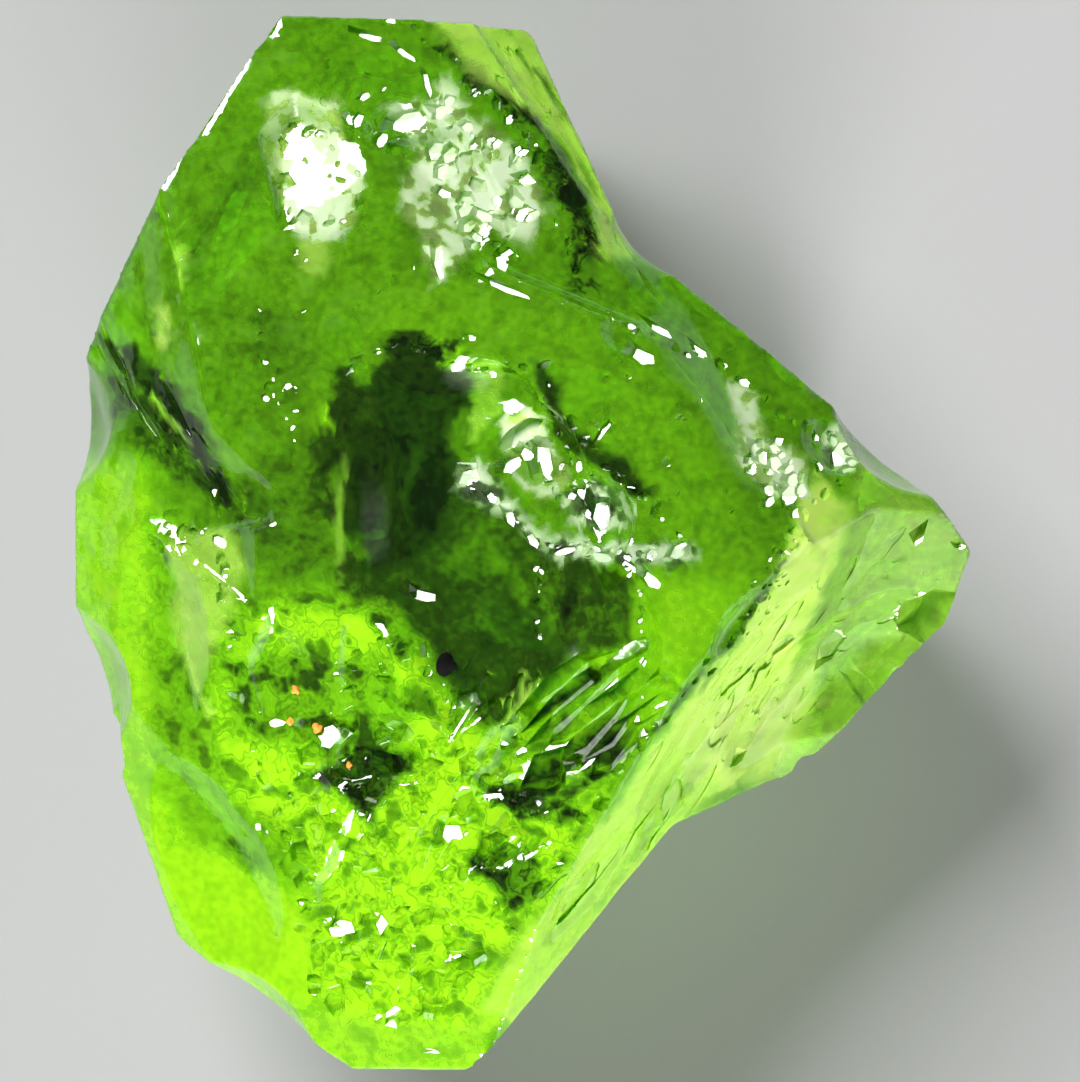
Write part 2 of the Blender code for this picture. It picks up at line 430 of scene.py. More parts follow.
@dataclass(frozen=True)
class Chip:
    """One chip: where it is struck, which way its floor faces, and its size in mm."""

    x: float
    y: float
    length: float
    width: float
    depth: float
    along: float = 0.0
    faces: float | None = None
    tilt: float = 68.0
    tool: Tool = Tool.FACET


# The way that a chip's floor faces to catch the main light, how far single ones stray from it, and the
# depth of those that have a place of their own
GLINT_FACES = 129.0
GLINT_TILT = 68.0
GLINT_DEPTH = 0.05
FACES_STRAY = 6.0
TILT_STRAY = 3.0


def glint(x: float, y: float, length: float, width: float, along: float) -> Chip:
    """A chip whose flat floor catches the main light."""
    return Chip(x, y, length, width, GLINT_DEPTH, along, GLINT_FACES, GLINT_TILT)


GLINTS = (
    glint(-1.15, 4.22, 0.42, 0.22, 20),
    glint(-1.64, 4.22, 0.22, 0.14, 80),
    glint(-1.40, 4.03, 0.20, 0.13, 60),
    glint(-1.50, 5.05, 0.40, 0.08, 160),
    glint(-1.16, 4.88, 0.36, 0.08, 145),
    glint(-0.95, 4.58, 0.40, 0.08, 110),
    glint(-0.82, 2.78, 0.46, 0.12, 100),
    glint(-0.10, 2.52, 0.60, 0.07, 155),
    glint(1.20, 1.86, 0.36, 0.20, 160),
    glint(1.40, 2.12, 0.40, 0.08, 148),
    glint(1.78, 1.92, 0.40, 0.08, 148),
    glint(0.02, 1.10, 0.52, 0.26, 60),
    glint(0.22, 0.82, 0.50, 0.22, 110),
    glint(-0.10, 0.80, 0.30, 0.16, 30),
    glint(0.62, 0.50, 0.36, 0.20, 150),
    glint(0.80, 0.28, 0.38, 0.22, 100),
    glint(-0.54, 0.67, 0.30, 0.24, 40),
    glint(-0.30, 0.46, 0.22, 0.12, 140),
    glint(-0.12, 0.26, 0.24, 0.12, 120),
    glint(0.10, 0.04, 0.26, 0.12, 130),
    glint(0.42, -0.06, 0.30, 0.10, 10),
    glint(0.78, -0.12, 0.28, 0.12, 160),
    glint(1.05, -0.22, 0.26, 0.12, 150),
    glint(1.30, -0.36, 0.26, 0.14, 140),
    glint(1.55, -0.05, 0.32, 0.20, 45),
    glint(-0.95, -0.51, 0.42, 0.14, 168),
    glint(0.80, 1.13, 0.34, 0.09, 58),
    glint(2.34, 0.96, 0.34, 0.20, 40),
    glint(2.52, 0.80, 0.26, 0.16, 120),
    glint(2.66, 0.50, 0.36, 0.24, 70),
    glint(3.17, 0.89, 0.34, 0.20, 80),
    glint(4.38, -0.02, 0.12, 0.08, 0),
    glint(2.18, -2.13, 0.34, 0.10, 50),
    glint(3.96, 0.06, 0.40, 0.12, 80),
)


# The middle of the striped place, the way across its stripes, and how they run
STRIPED_X, STRIPED_Y = 0.64, -1.70
ACROSS_X, ACROSS_Y = -0.68, 0.73
STRIPES_RUN = 43.0
STRIPE_WIDTH = 0.24
STRIPE_DEPTH = 0.09

# Long flat chips side by side, which lean in turn to either side of their own length, and two broad ones
STRIPES = tuple(
    Chip(
        STRIPED_X + ACROSS_X * across,
        STRIPED_Y + ACROSS_Y * across,
        length,
        STRIPE_WIDTH,
        STRIPE_DEPTH,
        STRIPES_RUN + turn,
        faces,
        tilt,
    )
    for across, length, turn, faces, tilt in (
        (-0.44, 0.80, 3, 311, 78),
        (-0.30, 1.00, -2, 340, 80),
        (-0.15, 1.20, 1, 318, 76),
        (0.00, 1.30, -3, 20, 80),
        (0.15, 1.20, 2, 305, 78),
        (0.29, 1.00, 0, 331, 80),
        (0.43, 0.80, -2, 314, 78),
    )
) + (
    Chip(0.24, -2.20, 0.66, 0.46, 0.12, STRIPES_RUN, 311, 80),
    Chip(3.98, -0.70, 0.60, 0.46, 0.15, 50.0, 324, 35),
)


@dataclass(frozen=True)
class Patch:
    """A patch of the seen face that is scattered with chips of one tool.

    The depth is a share of a chip's width, catches_light the share of chips that face the main light, and run
    the way that they all run, where they do.
    """

    name: str
    x: float
    y: float
    length: float
    width: float
    along: float
    count: int
    smallest: float
    largest: float
    tool: Tool
    depth: float
    catches_light: float = 0.0
    run: float | None = None


PATCHES = (
    Patch("hackly_top", -0.36, 3.72, 1.90, 0.95, 105, 70, 0.07, 0.26, Tool.FACET, 0.30, 0.45),
    Patch("top_left", -1.60, 4.35, 1.20, 0.70, 150, 16, 0.06, 0.18, Tool.FACET, 0.25, 0.4),
    Patch("frosty_right", 2.52, 0.72, 0.90, 0.50, 120, 30, 0.06, 0.20, Tool.FACET, 0.30, 0.65),
    Patch("wing_root", 3.10, 0.85, 0.60, 0.40, 110, 12, 0.05, 0.16, Tool.FACET, 0.30, 0.4),
    Patch("hollow_rim", 0.45, 0.60, 1.20, 0.50, 130, 26, 0.06, 0.20, Tool.FACET, 0.30, 0.3),
    Patch("hollow_low_rim", 1.00, -0.15, 1.10, 0.30, 160, 16, 0.05, 0.14, Tool.FACET, 0.30, 0.3),
    Patch("left_specks", -2.30, 1.45, 0.90, 0.60, 110, 30, 0.03, 0.10, Tool.FACET, 0.30, 0.6),
    Patch("crack", -3.55, 1.25, 2.20, 0.45, 131, 26, 0.30, 0.90, Tool.SPLINTER, 0.35, 0.0, 131),
    Patch("mosaic", -1.15, -2.80, 4.00, 2.40, 80, 130, 0.12, 0.36, Tool.FACET, 0.28),
    Patch("mosaic_streaks", -0.85, -3.00, 3.60, 1.90, 70, 36, 0.30, 1.10, Tool.SPLINTER, 0.18, 0.0, 62),
    Patch("mosaic_grit", -1.05, -2.70, 4.20, 2.60, 80, 150, 0.05, 0.16, Tool.GRIT, 0.35),
    Patch("plateau", -1.60, 2.60, 3.60, 2.40, 110, 40, 0.04, 0.12, Tool.GRIT, 0.25),
    Patch("right_plateau", 1.20, 0.90, 2.40, 1.60, 130, 30, 0.04, 0.12, Tool.GRIT, 0.25),
    Patch("ridge_streaks", 1.75, -1.90, 4.60, 0.90, 53, 34, 0.50, 2.20, Tool.SPLINTER, 0.05, 0.0, 53),
    Patch("crack_end", -3.48, 0.10, 0.50, 0.40, 0, 16, 0.06, 0.18, Tool.GRIT, 0.35),
    Patch("wing_tip", 3.96, -0.68, 0.50, 0.36, 30, 14, 0.06, 0.16, Tool.GRIT, 0.35),
    Patch("ridge_freckles", 2.48, -0.40, 1.20, 0.36, 58, 26, 0.04, 0.11, Tool.GRIT, 0.35),
    Patch("wing_streaks", 3.05, -0.90, 2.60, 1.40, 48, 22, 0.40, 1.60, Tool.SPLINTER, 0.05, 0.0, 50),
    Patch("bevel_streaks", 0.55, 3.70, 2.80, 0.60, 122, 34, 0.30, 1.20, Tool.SPLINTER, 0.16, 0.0, 122),
)


# Parts of the seen face with painted light and shade, and with tones of their own


@dataclass(frozen=True)
class Region:
    """A soft-edged part of the seen face with painted light, shade or tones; what is not given stays as it
    is.
    """

    name: str
    outline: tuple[Point, ...]
    soft: float
    bright: float | None = None
    pale: float | None = None
    frost_and_highlight: float | None = None
    broken: float | None = None

    def box(self) -> tuple[float, float, float, float]:
        """The region's reach: lowest and highest X, then lowest and highest Y."""
        xs = [x for x, _ in self.outline]
        ys = [y for _, y in self.outline]
        return min(xs) - self.soft, max(xs) + self.soft, min(ys) - self.soft, max(ys) + self.soft

    def share(self, x: float, y: float) -> float:
        """How far a place belongs to the region.

        Args:
            x: The place's X.
            y: The place's Y.

        Returns:
            Nought outside, one well inside, in between along the edge.
        """
        nearest = math.inf
        inside = False
        ax, ay = self.outline[-1]
        for bx, by in self.outline:
            run_x, run_y = bx - ax, by - ay
            part = ((x - ax) * run_x + (y - ay) * run_y) / (run_x * run_x + run_y * run_y)
            part = 0.0 if part < 0.0 else 1.0 if part > 1.0 else part
            gap_x, gap_y = x - ax - run_x * part, y - ay - run_y * part
            nearest = min(nearest, gap_x * gap_x + gap_y * gap_y)
            if (ay > y) != (by > y) and x < ax + run_x * (y - ay) / run_y:
                inside = not inside
            ax, ay = bx, by
        reach = math.sqrt(nearest) * (1.0 if inside else -1.0)
        step = min(1.0, max(0.0, 0.5 + reach / self.soft))
        return step * step * (3.0 - 2.0 * step)


STRIPE_SOFT = 0.05
STRIPE_NEAR = 0.35
STRIPE_FAR = 0.70


def stripe(
    name: str, start: Point, end: Point, width: float, bright: float, pale: float | None = None
) -> Region:
    """A narrow straight region that thins out to both ends.

    Args:
        name: The region's name.
        start: One end.
        end: The other end.
        width: The width of its middle.
        bright: How bright it is.
        pale: How pale it is, if that differs from what it lies on.

    Returns:
        The region.
    """
    run_x, run_y = end[0] - start[0], end[1] - start[1]
    length = math.hypot(run_x, run_y)
    side_x, side_y = -run_y / length * width / 2, run_x / length * width / 2
    near = (start[0] + run_x * STRIPE_NEAR, start[1] + run_y * STRIPE_NEAR)
    far = (start[0] + run_x * STRIPE_FAR, start[1] + run_y * STRIPE_FAR)
    outline = (
        start,
        (near[0] - side_x, near[1] - side_y),
        (far[0] - side_x, far[1] - side_y),
        end,
        (far[0] + side_x, far[1] + side_y),
        (near[0] + side_x, near[1] + side_y),
    )
    return Region(name, outline, STRIPE_SOFT, bright=bright, pale=pale)


def stripes(name: str, *rows: tuple[float, ...]) -> list[Region]:
    """Stripes of one kind.

    Args:
        name: Their name.
        rows: Each one's start X and Y, end X and Y, width, brightness and, where it differs, paleness.

    Returns:
        The regions.
    """
    return [stripe(name, row[0:2], row[2:4], *row[4:]) for row in rows]


# Most of these paint light and shade into the stone's colour as seen from above: bright lime painted light
# along its edges and lower half, painted shade in its dark centre, a painted sheen on the ridge band and the
# wing, and white painted highlights on frosted places; the crack and its lines are tones of its own.
# The later ones lie over the earlier ones
REGIONS = (
    # Painted light and shade: the left slope, its foot and the lower half are painted bright lime where the
    # stone glows, and olive or darker where it lies in shade
    Region("left_slope", (
        (-4.8, 0.9), (-3.85, 0.85), (-3.5, 0.1), (-3.4, -1.0), (-3.05, -1.9), (-2.6, -2.8), (-2.1, -3.3),
        (-2.05, -4.6), (-1.6, -5.6), (-4.8, -5.6),
    ), 0.35, bright=0.87, broken=0.12),
    Region("slope_shade", (
        (-3.75, 0.3), (-3.3, 0.2), (-2.9, -0.8), (-2.7, -1.8), (-2.45, -2.9), (-2.9, -3.0), (-3.5, -2.6),
        (-3.8, -1.6), (-3.8, -0.6),
    ), 0.35, bright=0.64, broken=0.45),
    Region("slope_foot", (
        (-4.0, -2.9), (-3.3, -3.0), (-2.5, -3.4), (-2.1, -3.6), (-2.0, -4.7), (-3.2, -4.6),
    ), 0.4, bright=0.93, broken=0.08),
    Region("lower_half", (
        (-2.9, -0.7), (-1.9, -0.6), (-1.2, -0.75), (-0.9, -1.3), (-0.35, -1.9), (0.3, -1.2), (1.0, -1.0),
        (1.05, -1.9), (0.6, -3.0), (-0.2, -4.2), (-0.5, -5.0), (-2.0, -5.0), (-2.05, -3.4), (-2.6, -2.8),
        (-3.1, -1.9),
    ), 0.4, bright=0.92, broken=0.62),
    Region("olive_top", (
        (-3.1, -0.7), (-2.0, -0.55), (-1.25, -0.65), (-1.0, -1.1), (-1.4, -1.2), (-1.9, -0.95), (-3.0, -1.1),
    ), 0.35, bright=0.66, broken=0.75),
    Region("lime_patches", (
        (-2.65, -0.62), (-2.20, -0.66), (-1.50, -0.75), (-1.35, -1.00), (-1.90, -1.08), (-2.55, -1.00),
    ), 0.15, bright=0.90, broken=0.6),
    Region("grain_halo", (
        (-1.0, -1.0), (-0.6, -0.9), (-0.4, -1.3), (-0.7, -1.5), (-0.95, -1.35),
    ), 0.15, bright=0.5),
    Region("bottom_bevel", (
        (-2.6, -4.5), (-1.9, -4.65), (-0.6, -4.8), (-0.2, -4.6), (-0.6, -5.6), (-1.9, -5.6),
    ), 0.15, bright=0.86, pale=0.08, broken=0.25),
    Region("olive_left", (
        (-3.0, -1.1), (-2.2, -1.05), (-1.5, -1.15), (-1.0, -1.6), (-1.2, -2.1), (-2.0, -2.1), (-2.9, -1.9),
    ), 0.3, bright=0.60, broken=0.6),
    Region("pale_facet", (
        (-3.5, 0.15), (-2.85, 0.1), (-2.75, -0.25), (-3.0, -0.9), (-3.25, -1.5), (-3.45, -0.9),
    ), 0.12, bright=0.68, pale=0.45, broken=0.15),
    Region("left_band", (
        (-3.95, -2.2), (-3.2, -2.35), (-2.5, -2.95), (-2.1, -3.45), (-2.7, -3.2), (-3.3, -3.0),
    ), 0.3, bright=0.67, broken=0.15),
    Region("plateau_left", (
        (-3.2, 2.6), (-2.6, 2.4), (-2.0, 2.1), (-2.3, 1.3), (-2.9, 1.0), (-3.4, 1.5),
    ), 0.5, bright=0.50, broken=0.2),
    Region("mid_left", (
        (-2.6, 0.9), (-1.9, 0.9), (-1.8, -0.3), (-2.5, -0.35), (-3.0, 0.3),
    ), 0.2, bright=0.40, broken=0.2),
    Region("crack_sides", (
        (-4.2, 2.05), (-3.9, 1.95), (-3.2, 1.3), (-2.9, 0.6), (-3.1, 0.4), (-3.6, 0.8), (-4.1, 1.3),
    ), 0.15, bright=0.28, broken=0.4),
    Region("crack", (
        (-4.22, 2.12), (-3.9, 1.95), (-3.45, 1.55), (-3.05, 0.75), (-2.85, 0.4), (-3.05, 0.5), (-3.35, 1.15),
        (-3.8, 1.75), (-4.2, 2.0),
    ), 0.08, bright=0.04),
    Region("strip_by_ridge", (
        (1.25, -0.3), (2.2, -0.3), (2.0, -0.95), (1.1, -2.1), (1.1, -1.0),
    ), 0.4, bright=0.78, broken=0.05),
    Region("right_plateau", (
        (0.9, 2.0), (2.0, 1.7), (2.5, 0.9), (2.1, -0.3), (1.3, -0.2), (0.7, 1.1),
    ), 0.4, bright=0.57, broken=0.14),
    # Painted shade: the dark centre, its darkest place, the place below it and its dark rim; the lighter
    # sweep and wedge in it are painted light
    Region("dark_centre", (
        (-1.85, 1.8), (-1.5, 1.55), (-1.4, 1.9), (-1.0, 2.0), (-0.55, 1.75), (-0.5, 1.2), (-0.6, 0.75),
        (-0.2, 0.5), (0.1, 0.05), (0.5, -0.1), (1.1, -0.35), (1.1, -1.0), (0.4, -1.05), (0.1, -1.5),
        (-0.3, -1.85), (-0.75, -1.35), (-0.95, -0.95), (-1.2, -0.6), (-1.85, -0.45), (-1.8, 0.3),
    ), 0.06, bright=0.25, broken=0.14),
    Region("darkest", (
        (-1.5, 1.75), (-1.0, 1.95), (-0.6, 1.5), (-0.65, 0.6), (-0.75, 0.1), (-1.2, -0.25), (-1.75, -0.3),
        (-1.75, 0.9), (-1.45, 1.2),
    ), 0.10, bright=0.08, broken=0.06),
    Region("green_sweep", ((-0.75, -0.15), (-0.1, 0.55), (0.1, 0.1), (-0.4, -0.35)), 0.20, bright=0.34),
    Region("below_centre", (
        (-0.3, -0.3), (0.4, -0.2), (1.05, -0.5), (1.05, -0.95), (0.4, -1.0),
    ), 0.2, bright=0.28, broken=0.2),
    Region("lime_wedge", ((-0.5, 1.0), (-0.5, 1.8), (-0.2, 1.8), (-0.25, 1.3)), 0.05, bright=0.75, pale=0.25),
    Region("dark_rim", (
        (0.1, 1.8), (0.25, 1.75), (0.45, 1.2), (1.0, 0.85), (1.3, 0.45), (1.1, 0.45), (0.8, 0.75), (0.3, 1.1),
    ), 0.08, bright=0.10),
    Region("stripes", (
        (-0.3, -2.1), (0.3, -1.3), (1.0, -0.95), (1.05, -1.5), (0.2, -2.3),
    ), 0.15, bright=0.75, broken=0.5),
    # Painted shade: darker streaks and flecks in the lower half, where its inner reflections are dark
    Region("dark_streaks", (
        (-0.4, -2.45), (0.2, -2.3), (0.95, -1.75), (0.9, -2.2), (0.5, -2.75), (0.0, -2.75),
    ), 0.12, bright=0.14, broken=0.6),
    Region("dark_flecks", (
        (-2.05, -2.25), (-1.6, -2.05), (-1.0, -2.1), (-1.4, -2.5), (-1.5, -2.8),
    ), 0.12, bright=0.15, broken=0.6),
    Region("low_flecks", (
        (-0.6, -3.1), (0.1, -3.0), (0.2, -3.5), (-0.1, -3.6),
    ), 0.12, bright=0.35, broken=0.8),
    # Painted sheen: the ridge band, its lower end, the wing, the glare on it and its top are painted pale
    Region("ridge_band", (
        (2.95, 0.7), (3.35, 0.3), (3.0, -0.5), (2.6, -1.5), (2.2, -2.3), (1.7, -2.6), (1.0, -3.5),
        (0.0, -4.8), (-0.4, -4.6), (0.2, -3.7), (1.3, -2.05), (2.2, -0.9),
    ), 0.10, bright=1.0, pale=0.95, broken=0.06),
    Region("ridge_band_low", (
        (1.5, -2.0), (1.9, -2.5), (1.0, -3.6), (0.0, -4.8), (-0.5, -4.7), (0.3, -3.5),
    ), 0.6, bright=0.95, pale=0.20),
    Region("wing", (
        (3.35, 0.9), (4.8, 0.2), (4.6, -0.9), (3.4, -2.2), (2.7, -2.7), (2.2, -2.4), (2.7, -1.5), (3.1, -0.3),
    ), 0.2, bright=0.61, pale=0.22, broken=0.2),
    Region("wing_glare", (
        (1.9, -2.2), (2.6, -1.4), (2.9, -1.2), (2.9, -1.9), (2.4, -2.3),
    ), 0.3, bright=1.0, pale=1.0),
    Region("wing_top", ((3.3, 0.95), (4.7, 0.3), (4.6, -0.4), (3.4, 0.2)), 0.25, bright=0.55, pale=0.25),
    Region("bevel", (
        (-1.2, 5.5), (0.2, 5.5), (1.3, 3.6), (1.1, 2.9), (0.75, 2.9), (0.7, 3.7), (0.1, 4.3), (-0.5, 4.7),
    ), 0.12, bright=0.80, pale=0.55, broken=0.2),
    Region("bevel_foot", (
        (-0.9, 5.05), (-0.4, 4.75), (0.0, 4.35), (0.35, 3.95), (0.65, 3.2), (0.8, 2.45), (0.5, 2.5),
        (0.5, 3.1), (0.15, 3.9), (-0.3, 4.4),
    ), 0.12, bright=0.30, broken=0.8),
    # The arrowhead's surround and foot are painted pale and frosted, with a white painted highlight on the
    # foot; its floor is left smooth so that it catches the main light itself
    Region("arrowhead", (
        (-2.45, 4.5), (-1.85, 4.4), (-1.6, 3.6), (-1.7, 3.15), (-2.2, 3.05), (-2.45, 3.5), (-2.6, 3.95),
    ), 0.08, bright=0.55, pale=0.5, frost_and_highlight=0.5, broken=0.25),
    Region("arrow_glint", (
        (-2.27, 4.20), (-1.66, 3.50), (-1.95, 3.56), (-2.05, 3.40), (-2.30, 3.38),
    ), 0.03, frost_and_highlight=0.0),
    Region("arrow_foot", (
        (-2.30, 3.36), (-1.75, 3.40), (-1.80, 3.05), (-2.25, 3.00),
    ), 0.08, frost_and_highlight=0.75, broken=0.6),
    Region("pale_foot", (
        (-2.25, 3.0), (-1.95, 3.05), (-1.95, 2.65), (-2.2, 2.7),
    ), 0.10, bright=0.6, pale=0.4),
    # Frosted places with white painted highlights: the hackly top, the frosted right side, the wing's root,
    # the centre's rim, the lobe and the round chip
    Region("hackly_top", (
        (-1.35, 4.35), (-0.9, 4.4), (-0.7, 4.6), (-0.5, 4.2), (0.0, 3.9), (0.2, 3.5), (0.1, 3.0),
        (-0.35, 3.2), (-0.8, 2.6), (-1.05, 3.0), (-1.15, 3.5), (-1.0, 3.9),
    ), 0.12, bright=0.6, pale=0.35, frost_and_highlight=0.95, broken=0.65),
    Region("frosty_right", (
        (2.1, 1.6), (2.35, 1.45), (2.4, 1.0), (2.75, 0.9), (2.85, 0.45), (2.5, 0.5), (2.15, 0.8),
    ), 0.10, bright=0.65, pale=0.4, frost_and_highlight=1.0, broken=0.4),
    Region("wing_root", ((3.0, 1.1), (3.3, 1.2), (3.35, 0.75), (3.05, 0.75)), 0.08, frost_and_highlight=0.8, broken=0.6),
    Region("centre_rim", (
        (-0.62, 0.62), (-0.40, 0.80), (-0.22, 0.52), (0.06, 0.24), (0.30, 0.08), (0.90, -0.02), (1.70, 0.00),
        (1.75, -0.14), (1.25, -0.22), (0.40, -0.14), (0.05, 0.08), (-0.26, 0.36), (-0.55, 0.50),
    ), 0.06, bright=0.45, frost_and_highlight=0.62, broken=0.9),
    Region("lobe", (
        (-0.18, 1.33), (0.03, 1.39), (0.18, 1.27), (0.24, 1.00), (0.42, 0.85), (0.49, 0.70), (0.42, 0.55),
        (0.21, 0.49), (-0.06, 0.64), (-0.21, 0.82), (-0.21, 1.12),
    ), 0.04, bright=0.5, pale=0.3, frost_and_highlight=0.55, broken=0.2),
    Region("lobe_inside", (
        (-0.09, 0.84), (0.16, 0.92), (0.36, 0.76), (0.32, 0.62), (0.12, 0.56), (-0.05, 0.70),
    ), 0.05, bright=0.55, pale=0.1, frost_and_highlight=0.05),
    # Painted highlights: a white crescent and a white dot on the lobe
    Region("lobe_white", (
        (-0.15, 1.30), (0.09, 1.36), (0.18, 1.14), (0.00, 1.06), (-0.12, 0.90), (-0.21, 1.00),
    ), 0.04, bright=1.0, pale=1.0, frost_and_highlight=1.0, broken=0.0),
    Region("lobe_dot", (
        (0.10, 0.77), (0.16, 0.83), (0.22, 0.77), (0.16, 0.71),
    ), 0.04, bright=1.0, frost_and_highlight=1.0),
    Region("round_chip", (
        (0.45, 0.55), (0.72, 0.64), (1.02, 0.49), (1.14, 0.31), (1.05, 0.16), (0.78, 0.10), (0.54, 0.19),
        (0.42, 0.37),
    ), 0.05, bright=0.5, frost_and_highlight=0.6, broken=0.5),
    Region("round_chip_inside", (
        (0.56, 0.48), (0.76, 0.53), (0.98, 0.38), (0.94, 0.24), (0.74, 0.21), (0.56, 0.30),
    ), 0.05, bright=0.3, frost_and_highlight=0.15, broken=0.6),
    # Painted highlights: two white bits by the lobe and the round chip
    Region("white_bit", (
        (-0.64, 0.68), (-0.48, 0.83), (-0.30, 0.76), (-0.36, 0.58), (-0.56, 0.53),
    ), 0.05, frost_and_highlight=0.95),
    Region("white_bit", (
        (0.74, 0.36), (0.80, 0.50), (0.90, 0.44), (0.84, 0.34),
    ), 0.04, bright=1.0, frost_and_highlight=1.0),
    Region("slope_light", (
        (-4.3, 0.6), (-3.95, 0.5), (-3.7, -0.6), (-3.85, -2.2), (-4.2, -1.6),
    ), 0.3, bright=0.84, pale=0.04),
    Region("smudge", (
        (-3.05, -2.95), (-2.75, -3.02), (-2.48, -3.22), (-2.80, -3.22),
    ), 0.15, bright=0.45, broken=0.5),
    # Painted shade at the left edge of the dark centre
    Region("dark_left", ((-2.15, 0.95), (-1.78, 1.25), (-1.70, 0.80), (-2.00, 0.68)), 0.10, bright=0.18),
    Region("dark_left", ((-1.90, 1.74), (-1.60, 1.70), (-1.45, 1.40), (-1.70, 1.30)), 0.08, bright=0.14),
    Region("edge_shade", (
        (-3.45, 2.75), (-3.15, 3.3), (-2.75, 3.9), (-2.6, 3.6), (-3.0, 3.1), (-3.3, 2.6),
    ), 0.2, bright=0.38),
    Region("light_band", (
        (-1.5, 2.5), (-0.3, 2.4), (0.6, 2.0), (1.0, 1.3), (0.75, 1.0), (0.3, 1.75), (-0.6, 2.15), (-1.4, 2.1),
    ), 0.4, bright=0.60),
    Region("brown_shade", (
        (-2.75, 2.35), (-2.3, 2.3), (-2.0, 1.9), (-2.2, 1.6), (-2.6, 1.9),
    ), 0.30, bright=0.42),
    # Painted light and shade in and round the dark centre: lighter chip, bits and branches, darker wedge,
    # lobe, branches and foot
    Region("lime_chip", ((-1.98, 1.46), (-1.76, 1.42), (-1.70, 1.14), (-1.96, 1.14)), 0.05, bright=0.85),
    Region("lime_bits", (
        (-1.30, 2.02), (-0.60, 2.06), (-0.48, 1.76), (-0.80, 1.72), (-0.95, 1.92),
    ), 0.06, bright=0.72, broken=0.9),
    Region("dark_wedge", (
        (-1.20, 0.95), (-0.75, 1.00), (-0.66, 0.60), (-0.90, 0.10), (-1.15, 0.30),
    ), 0.08, bright=0.0),
    Region("dark_lobe", (
        (-1.42, 1.92), (-1.22, 2.10), (-0.92, 2.08), (-0.78, 1.90), (-1.00, 1.70),
    ), 0.06, bright=0.10),
    Region("dark_branch", ((-1.95, 1.30), (-1.80, 1.48), (-1.52, 1.12), (-1.62, 0.92)), 0.05, bright=0.12),
    Region("dark_branch", ((-2.02, 0.42), (-1.70, 0.62), (-1.62, 0.30), (-1.78, 0.16)), 0.05, bright=0.14),
    Region("green_branch", ((-1.80, 0.12), (-1.42, 0.02), (-1.50, -0.22), (-1.84, -0.12)), 0.05, bright=0.40),
    Region("green_branch", ((-0.66, 1.40), (-0.50, 1.20), (-0.60, 0.86), (-0.74, 1.10)), 0.05, bright=0.42),
    Region("dark_foot", ((0.10, -1.00), (0.66, -0.98), (0.30, -1.32), (-0.02, -1.46)), 0.08, bright=0.20),
    *stripes("ridge_line",
        (1.02, -2.14, 2.05, -1.05, 0.07, 0.30, 0.0), (1.92, -1.20, 2.78, 0.12, 0.07, 0.30, 0.0),
        (-0.15, -3.95, 1.10, -2.05, 0.05, 0.50, 0.0),
    ),
    # Painted sheen: lighter streaks across the dark centre
    *stripes("centre_streak",
        (-1.20, 0.30, -1.00, 1.00, 0.10, 0.22), (-1.42, -0.10, -1.28, 0.90, 0.10, 0.20),
        (-0.62, -0.20, -0.05, 0.52, 0.12, 0.37), (-0.80, -0.30, -0.30, 0.10, 0.12, 0.42),
        (-1.70, -0.42, -0.30, -0.30, 0.14, 0.30), (0.35, -0.95, 0.50, -0.30, 0.14, 0.06),
        (-0.32, 0.08, 0.06, -0.75, 0.15, 0.46), (0.06, -0.08, 0.38, -0.92, 0.10, 0.36),
        (-0.55, -0.45, -0.15, -1.10, 0.11, 0.36), (0.62, -0.45, 0.70, -1.00, 0.08, 0.34),
        (-1.78, 0.90, -1.80, -0.40, 0.07, 0.62, 0.2),
    ),
    *stripes("dark_stripe",
        (0.12, -1.78, 0.48, -1.44, 0.10, 0.12), (0.30, -1.82, 0.84, -1.34, 0.10, 0.10),
        (0.36, -1.56, 0.90, -1.16, 0.09, 0.12), (0.08, -2.06, 0.62, -1.70, 0.10, 0.12),
        (0.50, -1.96, 0.98, -1.58, 0.12, 0.08),
    ),
    *stripes("lime_stripe",
        (-0.05, -2.38, 0.74, -1.88, 0.09, 0.85), (0.18, -2.58, 0.92, -2.04, 0.08, 0.80),
        (0.28, -2.74, 0.88, -2.28, 0.08, 0.75),
    ),
    *stripes("pale_scratch",
        (-0.30, -1.75, 0.10, -1.25, 0.05, 0.95, 0.7), (-0.18, -1.80, 0.20, -1.36, 0.04, 0.95, 0.7),
        (-0.08, -1.62, 0.12, -1.42, 0.04, 0.95, 0.7),
    ),
    *stripes("crack_line",
        (-4.22, 2.08, -3.30, 1.15, 0.12, 0.02), (-3.62, 1.62, -3.02, 0.60, 0.14, 0.0),
        (-4.05, 1.52, -3.20, 0.92, 0.09, 0.06), (-3.40, 0.80, -2.70, 0.20, 0.08, 0.10),
    ),
    *stripes("crack_light",
        (-3.95, 1.72, -3.30, 0.98, 0.06, 0.70, 0.2),
    ),
    *stripes("top_line",
        (-3.42, 3.00, -3.38, 2.50, 0.05, 0.80, 0.4), (-3.56, 2.45, -3.60, 1.90, 0.14, 0.70, 0.5),
    ),
    *stripes("bevel_line",
        (-0.20, 5.15, 0.55, 4.20, 0.07, 0.35, 0.1), (0.30, 4.85, 0.95, 3.75, 0.08, 0.95, 0.8),
        (0.55, 4.30, 1.05, 3.20, 0.06, 0.35, 0.1), (0.75, 4.05, 1.12, 3.10, 0.08, 0.95, 0.8),
        (-0.55, 5.20, 0.25, 4.55, 0.08, 0.90, 0.7), (-0.90, 4.96, -0.10, 4.50, 0.08, 0.15),
        (-0.30, 4.62, 0.30, 4.02, 0.10, 0.12), (0.20, 4.10, 0.62, 3.10, 0.10, 0.10),
